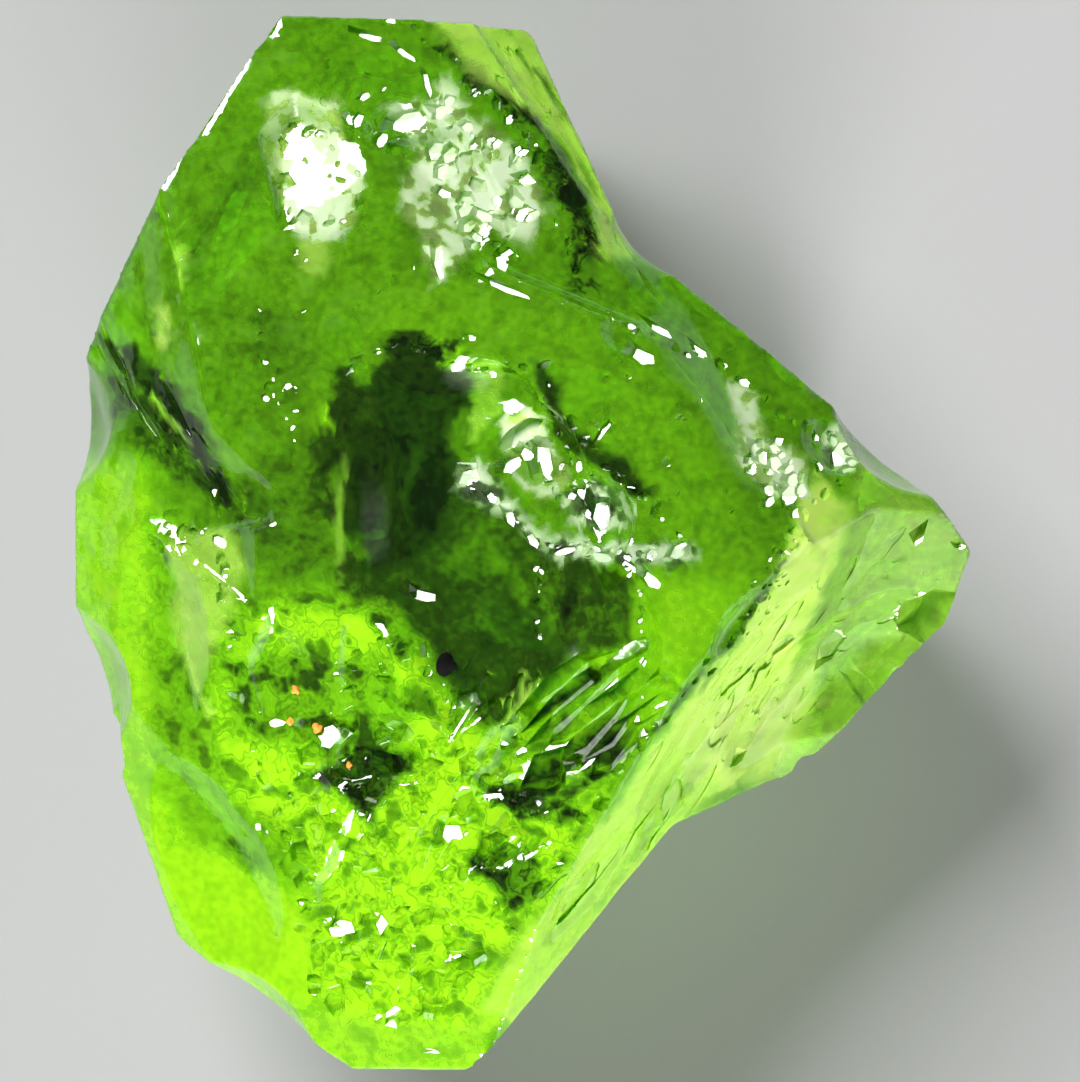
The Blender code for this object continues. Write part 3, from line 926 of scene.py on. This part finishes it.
        (0.55, 3.60, 0.78, 2.60, 0.08, 0.08), (0.30, 4.30, 0.72, 3.40, 0.06, 0.80, 0.5),
    ),
    *stripes("left_line",
        (-3.30, -0.90, -2.90, -2.60, 0.07, 0.60), (-2.95, -2.60, -2.30, -3.30, 0.08, 0.55),
        (-3.45, -0.60, -3.10, -2.00, 0.05, 0.80, 0.5),
    ),
    *stripes("band_line",
        (2.20, -2.30, 3.05, -0.60, 0.06, 0.62), (1.30, -2.90, 2.30, -1.60, 0.07, 0.60),
        (0.50, -4.00, 1.40, -2.70, 0.06, 0.66),
    ),
    *stripes("wing_line",
        (2.95, -0.30, 3.20, 0.55, 0.10, 0.42), (3.05, -1.10, 3.60, -0.20, 0.10, 0.52),
        (3.50, -1.40, 4.10, -0.50, 0.08, 0.52),
    ),
)

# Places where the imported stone's crisp edges are worn soft
CALM = (
    Region("centre", (
        (-2.2, 1.9), (-1.0, 2.1), (-0.5, 1.7), (-0.55, 0.7), (-0.2, 0.3), (0.3, -0.2), (1.0, -0.4),
        (1.0, -1.2), (0.1, -1.5), (-0.8, -1.2), (-1.2, -0.7), (-2.3, -0.5),
    ), 0.5),
    Region("stripes", (
        (-0.1, -2.0), (0.4, -1.35), (1.0, -1.05), (1.02, -1.8), (0.6, -2.5), (0.1, -2.5),
    ), 0.3),
    Region("long_scar", ((-2.9, -2.5), (-2.25, -1.8), (-2.0, -2.0), (-2.65, -2.75)), 0.2),
    Region("shoulder", ((0.8, 3.2), (1.15, 3.1), (2.75, -0.1), (2.35, -0.15)), 0.3),
    Region("crack", ((-4.2, 2.1), (-3.8, 2.1), (-2.7, 0.5), (-3.1, 0.3), (-4.1, 1.3)), 0.3),
)

# Lines of the seen face that are chipped along their whole length, each with the middling size of its chips
# and the share of them that catch the main light
RIDGES = (
    (
        ((3.38, 0.84), (2.71, 0.17), (2.18, -0.84), (1.87, -1.26),
         (1.18, -1.96), (0.94, -2.24), (-0.22, -4.06)),
        0.13,
        0,
    ),
    (((-3.07, 0.54), (-2.82, -1.56), (-2.22, -3.26), (-2.02, -4.56)), 0.14, 0),
    (
        ((-1.31, 5.24), (-0.70, 4.83), (-0.52, 4.57), (-0.09, 4.27),
         (0.24, 3.68), (0.50, 2.79), (0.62, 2.33)),
        0.11,
        0,
    ),
    (((0.68, 2.34), (1.98, 1.79), (2.60, 1.30), (3.30, 0.90)), 0.11, 0.15),
    (((-1.77, 1.74), (-1.22, 1.99), (-0.52, 1.74), (0.23, 1.79)), 0.10, 0),
    (((0.20, 1.73), (0.28, 1.35), (0.68, 0.97), (0.96, 0.61), (1.32, 0.40), (1.68, -0.11)), 0.12, 0.1),
    (
        ((-2.35, 3.25), (-2.38, 4.15), (-1.95, 4.05), (-1.62, 3.60),
         (-1.68, 3.25), (-2.05, 3.12), (-2.35, 3.25)),
        0.13,
        0,
    ),
    (((0.16, -0.16), (0.18, -1.0)), 0.06, 0.25),
    (((1.14, -0.36), (1.20, -1.0), (1.13, -1.9)), 0.07, 0.3),
    (((-0.65, 0.72), (-0.28, 0.45), (0.1, 0.05), (0.8, -0.1), (1.7, -0.1)), 0.10, 0.4),
)


@dataclass
class ChippingTools:
    """The tools that are copied for each chip. Each has its mouth at Z 0 and its floor at Z -1."""

    draws: random.Random
    shortest: float = 0.72
    longest: float = 1.25
    floor_flare: float = 0.80
    mouth_flare: float = 1.55
    slant: float = 0.04
    lump_least: float = 0.75
    lump_most: float = 1.15
    lump_slim: float = 0.6
    facets: list[bpy.types.Mesh] = field(default_factory=list)
    splinter: bpy.types.Mesh | None = None
    grit: list[bpy.types.Mesh] = field(default_factory=list)
    made: list[bpy.types.Object] = field(default_factory=list)

    def model(self) -> None:
        """Models one tool of each shape, with a few forms of those that are angular."""
        for sides, seed in ((5, 1), (6, 2), (4, 3), (7, 4), (5, 5)):
            self.facets.append(self.facet(sides, seed))
        for seed in (1, 2, 3):
            self.grit.append(self.lump(seed))
        self.splinter = self.spindle()

    def taken(self, piece: bpy.types.Object) -> bpy.types.Mesh:
        """Keeps the mesh of a modelled tool and lets its object go.

        Args:
            piece: The modelled tool.

        Returns:
            Its mesh.
        """
        mesh = piece.data
        bpy.data.objects.remove(piece)
        return mesh

    def facet(self, sides: int, seed: int) -> bpy.types.Mesh:
        """A block with an uneven flat floor and sides that slope outwards.

        Args:
            sides: How many sides it has.
            seed: The draw of its unevenness.

        Returns:
            The tool's mesh.
        """
        bpy.ops.object.select_all(action="DESELECT")
        bpy.ops.mesh.primitive_cylinder_add(vertices=sides, radius=0.5, depth=3.0, location=(0, 0, 0.5))
        tool = bpy.context.object
        draws = random.Random(seed)
        for vertex in tool.data.vertices:
            corner = round(math.atan2(vertex.co.y, vertex.co.x), 3)
            reach = random.Random(f"{seed} {corner}").uniform(self.shortest, self.longest)
            flare = self.floor_flare if vertex.co.z < 0 else self.mouth_flare
            vertex.co.x *= reach * flare
            vertex.co.y *= reach * flare
            vertex.co.x += self.slant * draws.uniform(-1, 1)
        bpy.ops.object.transform_apply(location=True)
        return self.taken(tool)

    def lump(self, seed: int) -> bpy.types.Mesh:
        """A small many-sided lump.

        Args:
            seed: The draw of its unevenness.

        Returns:
            The tool's mesh.
        """
        bpy.ops.mesh.primitive_ico_sphere_add(subdivisions=1, radius=1.0)
        tool = bpy.context.object
        draws = random.Random(seed)
        for vertex in tool.data.vertices:
            vertex.co *= draws.uniform(self.lump_least, self.lump_most)
            vertex.co.x *= self.lump_slim
            vertex.co.y *= self.lump_slim
        return self.taken(tool)

    def spindle(self) -> bpy.types.Mesh:
        """A long narrow tool that thins out to both ends.

        Returns:
            The tool's mesh.
        """
        lying = (0, math.pi / 2, 0)
        bpy.ops.mesh.primitive_uv_sphere_add(segments=10, ring_count=8, radius=1.0, rotation=lying)
        tool = bpy.context.object
        bpy.ops.object.transform_apply(rotation=True)
        for vertex in tool.data.vertices:
            vertex.co.x *= 0.5
            vertex.co.y *= 0.5
        return self.taken(tool)

    def strike(self, chip: Chip, where: Vector, outwards: Vector) -> None:
        """Sets a copy of a tool where a chip is struck.

        Args:
            chip: The chip's size, tool and angles.
            where: The struck point, in metres.
            outwards: The way out of the surface there.
        """
        floor = outwards if chip.faces is None else facing(chip.faces, chip.tilt)
        if chip.tool is Tool.FACET:
            mesh = self.draws.choice(self.facets)
        elif chip.tool is Tool.GRIT:
            mesh = self.draws.choice(self.grit)
        else:
            mesh = self.splinter
        copy = bpy.data.objects.new("chip", mesh.copy())
        bpy.context.collection.objects.link(copy)
        size = Matrix.Diagonal((chip.length * MM, chip.width * MM, chip.depth * MM, 1.0))
        copy.matrix_world = set_frame(where, floor, facing(chip.along, 0.0)) @ size
        self.made.append(copy)

    def gathered(self) -> bpy.types.Collection:
        """Gathers all the struck tools.

        Returns:
            A collection of their own.
        """
        gathered = bpy.data.collections.new("chipping tools")
        bpy.context.scene.collection.children.link(gathered)
        for copy in self.made:
            bpy.context.collection.objects.unlink(copy)
            gathered.objects.link(copy)
        return gathered

    def put_away(self) -> None:
        """Lets the struck tools go."""
        for copy in self.made:
            bpy.data.meshes.remove(copy.data)
        self.made = []


@dataclass
class Chipping:
    """The chipping of one stone: its surface before the first chip, the tools, and the draws of chance.

    A lean is how far a chip strays from the way out, and a slimness is its width as a share of its length. A
    depth is a share of the width on the sides, and of the length on the ridges. The sides are struck towards
    the stone's heart, from ways that rise by side_rise. A range goes from least to most.
    """

    surface: BVHTree
    tools: ChippingTools
    draws: random.Random
    lean: float = 0.22
    slimness: Point = (0.45, 0.9)
    splinter_lean: float = 0.06
    splinter_slimness: Point = (0.08, 0.16)
    run_stray: float = 4.0
    most_calm: float = 0.5
    ridge_lean: float = 0.3
    ridge_pitch: float = 1.3
    ridge_stray: float = 0.25
    ridge_sizes: Point = (0.5, 1.6)
    ridge_slimness: Point = (0.5, 0.9)
    ridge_turn: float = 25.0
    ridge_facets: float = 0.6
    ridge_depth: Point = (0.15, 0.4)
    side_chips: int = 150
    heart: tuple[float, float, float] = (-0.4 * MM, 0.2 * MM, 2.7 * MM)
    side_rise: Point = (-50.0, 22.0)
    side_turn: Point = (-60.0, 60.0)
    side_lean: float = 0.12
    side_facet_sizes: Point = (0.2, 1.5)
    side_small_sizes: Point = (0.12, 0.6)
    side_splinter_slimness: Point = (0.1, 0.2)
    side_facet_depth: float = 0.10
    side_small_depth: float = 0.25
    base_normal: float = -0.97
    base_height: float = 0.25 * MM
    upper_normal: float = 0.1
    upper_share: float = 0.35

    def leaning(self, outwards: Vector, lean: float) -> Vector:
        """A direction that strays from the way out by chance."""
        return outwards + Vector([self.draws.gauss(0, lean) for _ in range(3)])

    def seen_at(self, x: float, y: float) -> Spot | None:
        """The point that is seen at a place from above, and the way out of the stone there.

        Args:
            x: The place's X.
            y: The place's Y.

        Returns:
            The point and the way out, or nothing where there is no stone.
        """
        where, outwards, _, _ = self.surface.ray_cast(Vector((x * MM, y * MM, ABOVE)), DOWN)
        return (where, outwards) if where else None

    def single(self, chips: tuple[Chip, ...]) -> None:
        """Strikes chips at places of their own.

        Args:
            chips: The chips.
        """
        for chip in chips:
            spot = self.seen_at(chip.x, chip.y)
            if spot:
                self.tools.strike(chip, *spot)

    def scatter(self, patch: Patch) -> None:
        """Scatters chips over a patch of the seen face.

        Args:
            patch: The patch.
        """
        draws = self.draws
        lengthwise = facing(patch.along, 0.0)
        across = facing(patch.along + 90.0, 0.0)
        for _ in range(patch.count):
            turn = draws.uniform(0.0, math.tau)
            reach = math.sqrt(draws.random()) / 2
            offset = lengthwise * (math.cos(turn) * reach * patch.length)
            offset += across * (math.sin(turn) * reach * patch.width)
            size = draws.uniform(patch.smallest, patch.largest)
            slim = draws.uniform(*self.slimness)
            if patch.tool is Tool.SPLINTER:
                slim = draws.uniform(*self.splinter_slimness)
            along = draws.uniform(0, 180) if patch.run is None else patch.run + draws.gauss(0, self.run_stray)
            x, y = patch.x + offset.x, patch.y + offset.y
            spot = self.seen_at(x, y)
            if not spot or CALM[0].share(x, y) > self.most_calm:
                continue
            where, outwards = spot
            depth = size * slim * patch.depth
            if draws.random() < patch.catches_light:
                faces = GLINT_FACES + draws.gauss(0, FACES_STRAY)
                tilt = GLINT_TILT + draws.gauss(0, TILT_STRAY)
                chip = Chip(0, 0, size, size * slim, depth, along, faces, tilt, patch.tool)
            else:
                lean = self.splinter_lean if patch.tool is Tool.SPLINTER else self.lean
                outwards = self.leaning(outwards, lean).normalized()
                chip = Chip(0, 0, size, size * slim, depth, along, None, 0, patch.tool)
            self.tools.strike(chip, where, outwards)
        log.debug("%s scattered with chips", patch.name)

    def along_line(self, line: tuple[Point, ...], size: float, lit: float) -> None:
        """Chips a line of the seen face along its whole length.

        Args:
            line: The corners of the line.
            size: The middling size of its chips.
            lit: The share of them that catch the main light.
        """
        draws = self.draws
        for start, end in zip(line, line[1:]):
            run = Vector((end[0] - start[0], end[1] - start[1]))
            count = max(1, round(run.length / (size * self.ridge_pitch)))
            for step in range(count):
                part = (step + draws.random()) / count
                x = start[0] + run.x * part + draws.gauss(0, size * self.ridge_stray)
                y = start[1] + run.y * part + draws.gauss(0, size * self.ridge_stray)
                spot = self.seen_at(x, y)
                if not spot:
                    continue
                where, outwards = spot
                outwards = self.leaning(outwards, self.ridge_lean)
                reach = size * draws.uniform(*self.ridge_sizes)
                slim = draws.uniform(*self.ridge_slimness)
                along = math.degrees(math.atan2(run.y, run.x)) + draws.gauss(0, self.ridge_turn)
                tool = Tool.FACET if draws.random() < self.ridge_facets else Tool.GRIT
                if draws.random() < lit:
                    faces = GLINT_FACES + draws.gauss(0, FACES_STRAY)
                    outwards = facing(faces, GLINT_TILT + draws.gauss(0, TILT_STRAY))
                    tool = Tool.FACET
                depth = reach * draws.uniform(*self.ridge_depth)
                chip = Chip(0, 0, reach, reach * slim, depth, along, None, 0, tool)
                self.tools.strike(chip, where, outwards.normalized())

    def sides(self) -> None:
        """Strikes facets, lumps and splinters out of the sides and the underside."""
        draws = self.draws
        middle = Vector(self.heart)
        for _ in range(self.side_chips):
            outside = facing(draws.uniform(0, 360), draws.uniform(*self.side_rise))
            where, outwards, _, _ = self.surface.ray_cast(middle + outside * ABOVE, -outside)
            if not where or outwards.z < self.base_normal or where.z < self.base_height:
                continue
            tool = draws.choice((Tool.FACET, Tool.FACET, Tool.FACET, Tool.GRIT, Tool.SPLINTER))
            size = draws.uniform(*(self.side_facet_sizes if tool is Tool.FACET else self.side_small_sizes))
            if outwards.z > self.upper_normal:
                size *= self.upper_share
            slim = draws.uniform(*(self.side_splinter_slimness if tool is Tool.SPLINTER else self.slimness))
            depth = size * slim * (self.side_facet_depth if tool is Tool.FACET else self.side_small_depth)
            outwards = self.leaning(outwards, self.side_lean)
            along = facing(draws.uniform(0, 360), draws.uniform(*self.side_turn))
            compass = math.degrees(math.atan2(along.y, along.x))
            chip = Chip(0, 0, size, size * slim, depth, compass, None, 0, tool)
            self.tools.strike(chip, where, outwards.normalized())


@dataclass
class Crystal:
    """The stone itself: one broken piece of clear peridot."""

    node: str = "peridot_crystal"
    grain: float = 0.045 * MM
    merged_below: float = 1e-7
    most_triangles: int = 95_000
    smooth_angle: float = 28.0
    plain_tones: tuple[float, ...] = (0.53, 0.0, 0.0, 0.14)
    # The sides are painted brighter than the plain face: painted light where the stone's edges glow lime
    side_tones: tuple[float, ...] = (0.72, 0.05, 0.0, 0.35)
    wander: float = 0.07
    wander_scale: float = 2600.0
    fray: float = 0.05
    fray_scale: float = 9000.0
    wear_rounds: int = 320
    wear_strength: float = 0.9
    lowest_worn: float = 2.0 * MM
    lowest_worn_normal: float = -0.2
    lowest_toned: float = 1.2 * MM
    tones_end: float = -0.45
    tones_fade: float = 0.35
    swells: tuple[float, float] = (1.1 * MM, 0.030 * MM)
    ripples: tuple[float, float] = (0.35 * MM, 0.012 * MM)
    seed: int = 11
    finish: PeridotFinish = PeridotFinish()

    def build(self) -> bpy.types.Object:
        """Builds the stone and hangs it on the frame.

        Returns:
            The finished stone.
        """
        stone = self.copy_of_node()
        self.relief(stone)
        self.chip(stone)
        self.paint(stone)
        stone.data.materials.clear()
        stone.data.materials.append(self.finish.material())
        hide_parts(self.node)
        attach(stone, "root")
        return stone

    def copy_of_node(self) -> bpy.types.Object:
        """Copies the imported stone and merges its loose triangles.

        Returns:
            The copy.
        """
        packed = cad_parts[self.node]
        only(packed)
        bpy.ops.object.duplicate()
        stone = bpy.context.object
        stone.name = "crystal"
        stone.parent = None
        stone.matrix_world = Matrix.Identity(4)
        only(stone)
        bpy.ops.object.mode_set(mode="EDIT")
        bpy.ops.mesh.select_all(action="SELECT")
        bpy.ops.mesh.remove_doubles(threshold=self.merged_below)
        bpy.ops.object.mode_set(mode="OBJECT")
        return stone

    def chip(self, stone: bpy.types.Object) -> None:
        """Strikes every chip out of the stone.

        Args:
            stone: The stone with its relief.
        """
        draws = random.Random(self.seed)
        tools = ChippingTools(draws)
        tools.model()
        surface = BVHTree.FromObject(stone, bpy.context.evaluated_depsgraph_get())
        chipping = Chipping(surface, tools, draws)
        chipping.single(GLINTS + STRIPES)
        for patch in PATCHES:
            chipping.scatter(patch)
        for line, size, lit in RIDGES:
            chipping.along_line(line, size, lit)
        chipping.sides()
        cut = stone.modifiers.new("chips", "BOOLEAN")
        cut.operation = "DIFFERENCE"
        cut.operand_type = "COLLECTION"
        cut.collection = tools.gathered()
        cut.solver = "MANIFOLD"
        apply_modifiers(stone)
        tools.put_away()
        self.settle(stone)
        only(stone)
        bpy.ops.object.shade_smooth_by_angle(angle=math.radians(self.smooth_angle))
        log.info("chipped stone: %d triangles", triangles_of(stone))

    def relief(self, stone: bpy.types.Object) -> None:
        """Remeshes the stone finely and gives it the relief of a broken surface.

        Args:
            stone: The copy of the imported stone.
        """
        remesh = stone.modifiers.new("grain", "REMESH")
        remesh.mode = "VOXEL"
        remesh.voxel_size = self.grain
        apply_modifiers(stone)
        self.wear(stone)
        for name, (size, strength) in (("swells", self.swells), ("ripples", self.ripples)):
            texture = bpy.data.textures.new(name, "CLOUDS")
            texture.noise_scale = size
            texture.noise_depth = 2
            push = stone.modifiers.new(name, "DISPLACE")
            push.texture = texture
            push.texture_coords = "LOCAL"
            push.strength = strength
            push.mid_level = 0.5
        apply_modifiers(stone)
        triangles = triangles_of(stone)
        log.info("fine stone: %d triangles", triangles)
        if triangles > self.most_triangles:
            thin = stone.modifiers.new("thin", "DECIMATE")
            thin.ratio = self.most_triangles / triangles
            apply_modifiers(stone)

    def wear(self, stone: bpy.types.Object) -> None:
        """Wears the stone soft in its calm places.

        Args:
            stone: The finely remeshed stone.
        """
        calm = stone.vertex_groups.new(name="calm")
        regions = [(region, region.box()) for region in CALM]
        for vertex in stone.data.vertices:
            if vertex.normal.z < self.lowest_worn_normal or vertex.co.z < self.lowest_worn:
                continue
            x, y = vertex.co.x / MM, vertex.co.y / MM
            weight = 0.0
            for region, (low_x, high_x, low_y, high_y) in regions:
                if low_x < x < high_x and low_y < y < high_y:
                    weight = max(weight, region.share(x, y))
            if weight > 0.0:
                calm.add([vertex.index], weight, "REPLACE")
        smooth = stone.modifiers.new("wear", "SMOOTH")
        smooth.vertex_group = "calm"
        smooth.factor = self.wear_strength
        smooth.iterations = self.wear_rounds
        apply_modifiers(stone)

    def settle(self, stone: bpy.types.Object) -> None:
        """Keeps the stone inside its packed box, so that it rests on the ground.

        Args:
            stone: The chipped stone.
        """
        low, high = CAD_BOX
        for vertex in stone.data.vertices:
            for axis in range(3):
                vertex.co[axis] = min(max(vertex.co[axis], low[axis]), high[axis])

    def tones_at(
        self, x: float, y: float, regions: list[tuple[Region, tuple[float, float, float, float]]]
    ) -> list[float]:
        """The tones of a place of the seen face.

        Args:
            x: The place's X.
            y: The place's Y.
            regions: The regions with their reach, the later ones over the earlier ones.

        Returns:
            How bright it is, in painted light and shade; how pale, in painted sheen; how frosted, with
            painted highlights; and how broken up.
        """
        tones = list(self.plain_tones)
        for region, (low_x, high_x, low_y, high_y) in regions:
            if not (low_x < x < high_x and low_y < y < high_y):
                continue
            share = region.share(x, y)
            if share <= 0.0:
                continue
            for number, own in enumerate((region.bright, region.pale, region.frost_and_highlight, region.broken)):
                if own is not None:
                    tones[number] += (own - tones[number]) * share
        return tones

    def paint(self, stone: bpy.types.Object) -> None:
        """Marks how bright, pale, frosted and broken up each place is: painted light, shade, sheen and
        highlights.

        Args:
            stone: The chipped stone.
        """
        # Without a seed of its own, this noise differs from run to run
        noise.seed_set(self.seed)
        attribute = stone.data.attributes.new(TONES, "FLOAT_COLOR", "POINT")
        regions = [(region, region.box()) for region in REGIONS]
        values = []
        for vertex in stone.data.vertices:
            seen = min(1.0, max(0.0, (vertex.normal.z - self.tones_end) / self.tones_fade))
            if seen <= 0.0 or vertex.co.z < self.lowest_toned:
                values += self.side_tones
                continue
            wander = noise.noise_vector(vertex.co * self.wander_scale) * self.wander
            wander += noise.noise_vector(vertex.co * self.fray_scale) * self.fray
            tones = self.tones_at(vertex.co.x / MM + wander.x, vertex.co.y / MM + wander.y, regions)
            values += [side + (tone - side) * seen for side, tone in zip(self.side_tones, tones)]
        attribute.data.foreach_set("color", values)
        log.debug("painted: %s", ", ".join(region.name for region in REGIONS))


@dataclass
class Inclusions:
    """What is caught in the stone's face: one black grain and a few rusty specks."""

    grain_at: tuple[float, float] = (-0.75, -1.20)
    grain_radius: float = 0.105
    specks: tuple[tuple[float, float, float], ...] = (
        (-2.25, -1.45, 0.045),
        (-2.04, -1.83, 0.050),
        (-2.31, -1.77, 0.035),
        (-1.72, -2.20, 0.030),
    )
    black: PlainFinish = PlainFinish("black_grain", (0.002, 0.002, 0.002, 1.0), 0.9, 0.15, shine=0.1)
    rust: PlainFinish = PlainFinish("rusty_specks", (0.75, 0.25, 0.02, 1.0), 0.7, 0.15)
    bulge: float = 0.22
    bulge_waves: float = 6.3
    grain_seed: int = 3

    def build(self, stone: bpy.types.Object) -> list[bpy.types.Object]:
        """Builds the grain and the specks in the stone's face.

        Args:
            stone: The finished stone.

        Returns:
            The pieces.
        """
        black = self.black.material()
        rust = self.rust.material()
        grain = self.lump(stone, *self.grain_at, self.grain_radius, black, self.grain_seed)
        grain.name = "black_grain"
        specks = [
            self.lump(stone, x, y, radius, rust, number) for number, (x, y, radius) in enumerate(self.specks)
        ]
        only(specks[0])
        for speck in specks:
            speck.select_set(True)
        bpy.ops.object.join()
        specks[0].name = "rusty_specks"
        for piece in (grain, specks[0]):
            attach(piece, "root")
        return [grain, specks[0]]

    def lump(
        self,
        stone: bpy.types.Object,
        x: float,
        y: float,
        radius: float,
        material: bpy.types.Material,
        seed: int,
    ) -> bpy.types.Object:
        """One uneven grain, half sunk in the stone's face.

        Args:
            stone: The finished stone.
            x: The grain's X.
            y: The grain's Y.
            radius: Its middling radius.
            material: Its finish.
            seed: The draw of its unevenness.

        Returns:
            The grain.
        """
        _, where, _, _ = stone.ray_cast(Vector((x * MM, y * MM, ABOVE)), DOWN)
        bpy.ops.object.select_all(action="DESELECT")
        bpy.ops.mesh.primitive_ico_sphere_add(subdivisions=3, radius=radius * MM, location=where)
        grain = bpy.context.object
        bpy.ops.object.transform_apply(location=True)
        draws = random.Random(seed)
        shift = Vector([draws.uniform(-1, 1) for _ in range(3)])
        for vertex in grain.data.vertices:
            out = vertex.co - where
            push = 1.0 + self.bulge * math.sin(self.bulge_waves * (out.normalized() + shift).length)
            vertex.co = where + out * push
        bpy.ops.object.shade_smooth()
        grain.data.materials.append(material)
        return grain


# The room round the stone


@dataclass(frozen=True)
class Lamp:
    """A square soft light that points at the stone."""

    name: str
    towards: tuple[float, float, float]
    size: float
    radiance: float
    distance: float = 0.3

    def build(self) -> bpy.types.Object:
        """Builds the light.

        Returns:
            The light.
        """
        data = bpy.data.lights.new(self.name, "AREA")
        data.shape = "SQUARE"
        data.size = self.size
        data.energy = self.radiance * math.pi * self.size * self.size
        lamp = bpy.data.objects.new(self.name, data)
        bpy.context.scene.collection.objects.link(lamp)
        direction = Vector(self.towards).normalized()
        lamp.location = direction * self.distance
        lamp.rotation_euler = (-direction).to_track_quat("-Z", "Y").to_euler()
        lamp.visible_camera = False
        lamp.visible_transmission = False
        return lamp


@dataclass
class Studio:
    """A plain floor, soft lights, a pale surround and the camera."""

    floor_size: float = 0.6
    floor_drop: float = 0.02 * MM
    lens: float = 500.0
    camera_height: float = 0.15
    bright_side: tuple[float, float, float] = (0.60, -0.42, -0.68)
    bright_strength: float = 2.2
    dark_strength: float = 0.06
    seen_strength: float = 0.55
    full_at: float = 0.72
    nearest_seen: float = 0.001
    farthest_seen: float = 2.0
    bounces: int = 9
    floor_finish: PlainFinish = PlainFinish("floor", (0.25, 0.25, 0.25, 1.0), 0.8)
    aim: tuple[float, float, float] = (0.18 * MM, 0.03 * MM, 4.5 * MM)
    lamps: tuple[Lamp, ...] = (
        Lamp("key_light", (-0.6, 0.75, 1.12), 0.15, 29.0),
        Lamp("low_light", (0.07, -0.98, 0.20), 0.14, 44.0),
    )

    def build(self) -> None:
        """Builds the room."""
        bpy.ops.object.select_all(action="DESELECT")
        bpy.ops.mesh.primitive_plane_add(size=self.floor_size, location=(0, 0, -self.floor_drop))
        floor = bpy.context.object
        floor.name = "floor"
        bpy.ops.object.transform_apply(location=True)
        floor.data.materials.append(self.floor_finish.material())
        for lamp in self.lamps:
            lamp.build()
        self.surround()
        self.camera()
        settings = bpy.context.scene
        settings.view_settings.view_transform = "Standard"
        settings.cycles.max_bounces = self.bounces
        settings.cycles.transmission_bounces = self.bounces

    def surround(self) -> None:
        """A surround that is bright low down on the right and dark elsewhere; straight on it looks plain."""
        world = bpy.data.worlds.new("surround")
        bpy.context.scene.world = world
        world.use_nodes = True
        nodes = world.node_tree.nodes
        links = world.node_tree.links
        place = nodes.new("ShaderNodeTexCoord")
        lean = nodes.new("ShaderNodeVectorMath")
        lean.operation = "DOT_PRODUCT"
        lean.inputs[1].default_value = self.bright_side
        shade = nodes.new("ShaderNodeMapRange")
        shade.inputs["From Min"].default_value = 0.0
        shade.inputs["From Max"].default_value = self.full_at
        shade.inputs["To Min"].default_value = self.dark_strength
        shade.inputs["To Max"].default_value = self.bright_strength
        links.new(place.outputs["Generated"], lean.inputs[0])
        links.new(lean.outputs["Value"], shade.inputs["Value"])
        path = nodes.new("ShaderNodeLightPath")
        seen = nodes.new("ShaderNodeMix")
        links.new(path.outputs["Is Camera Ray"], seen.inputs["Factor"])
        links.new(shade.outputs[0], seen.inputs["A"])
        seen.inputs["B"].default_value = self.seen_strength
        links.new(seen.outputs["Result"], nodes["Background"].inputs["Strength"])
        nodes["Background"].inputs["Color"].default_value = (1.0, 1.0, 1.0, 1.0)

    def camera(self) -> None:
        """The camera, straight above the stone with the stone's top up."""
        data = bpy.data.cameras.new("camera")
        camera = bpy.data.objects.new("camera", data)
        bpy.context.scene.collection.objects.link(camera)
        data.lens = self.lens
        data.clip_start = self.nearest_seen
        data.clip_end = self.farthest_seen
        camera.location = Vector(self.aim) + Vector((0, 0, self.camera_height))
        bpy.context.scene.camera = camera


def main() -> None:
    """Builds the stone and what is in it, then the room."""
    stone = Crystal().build()
    log.info("%s built", stone.name)
    for piece in Inclusions().build(stone):
        log.info("%s built", piece.name)
    Studio().build()


if __name__ == "__main__":
    main()
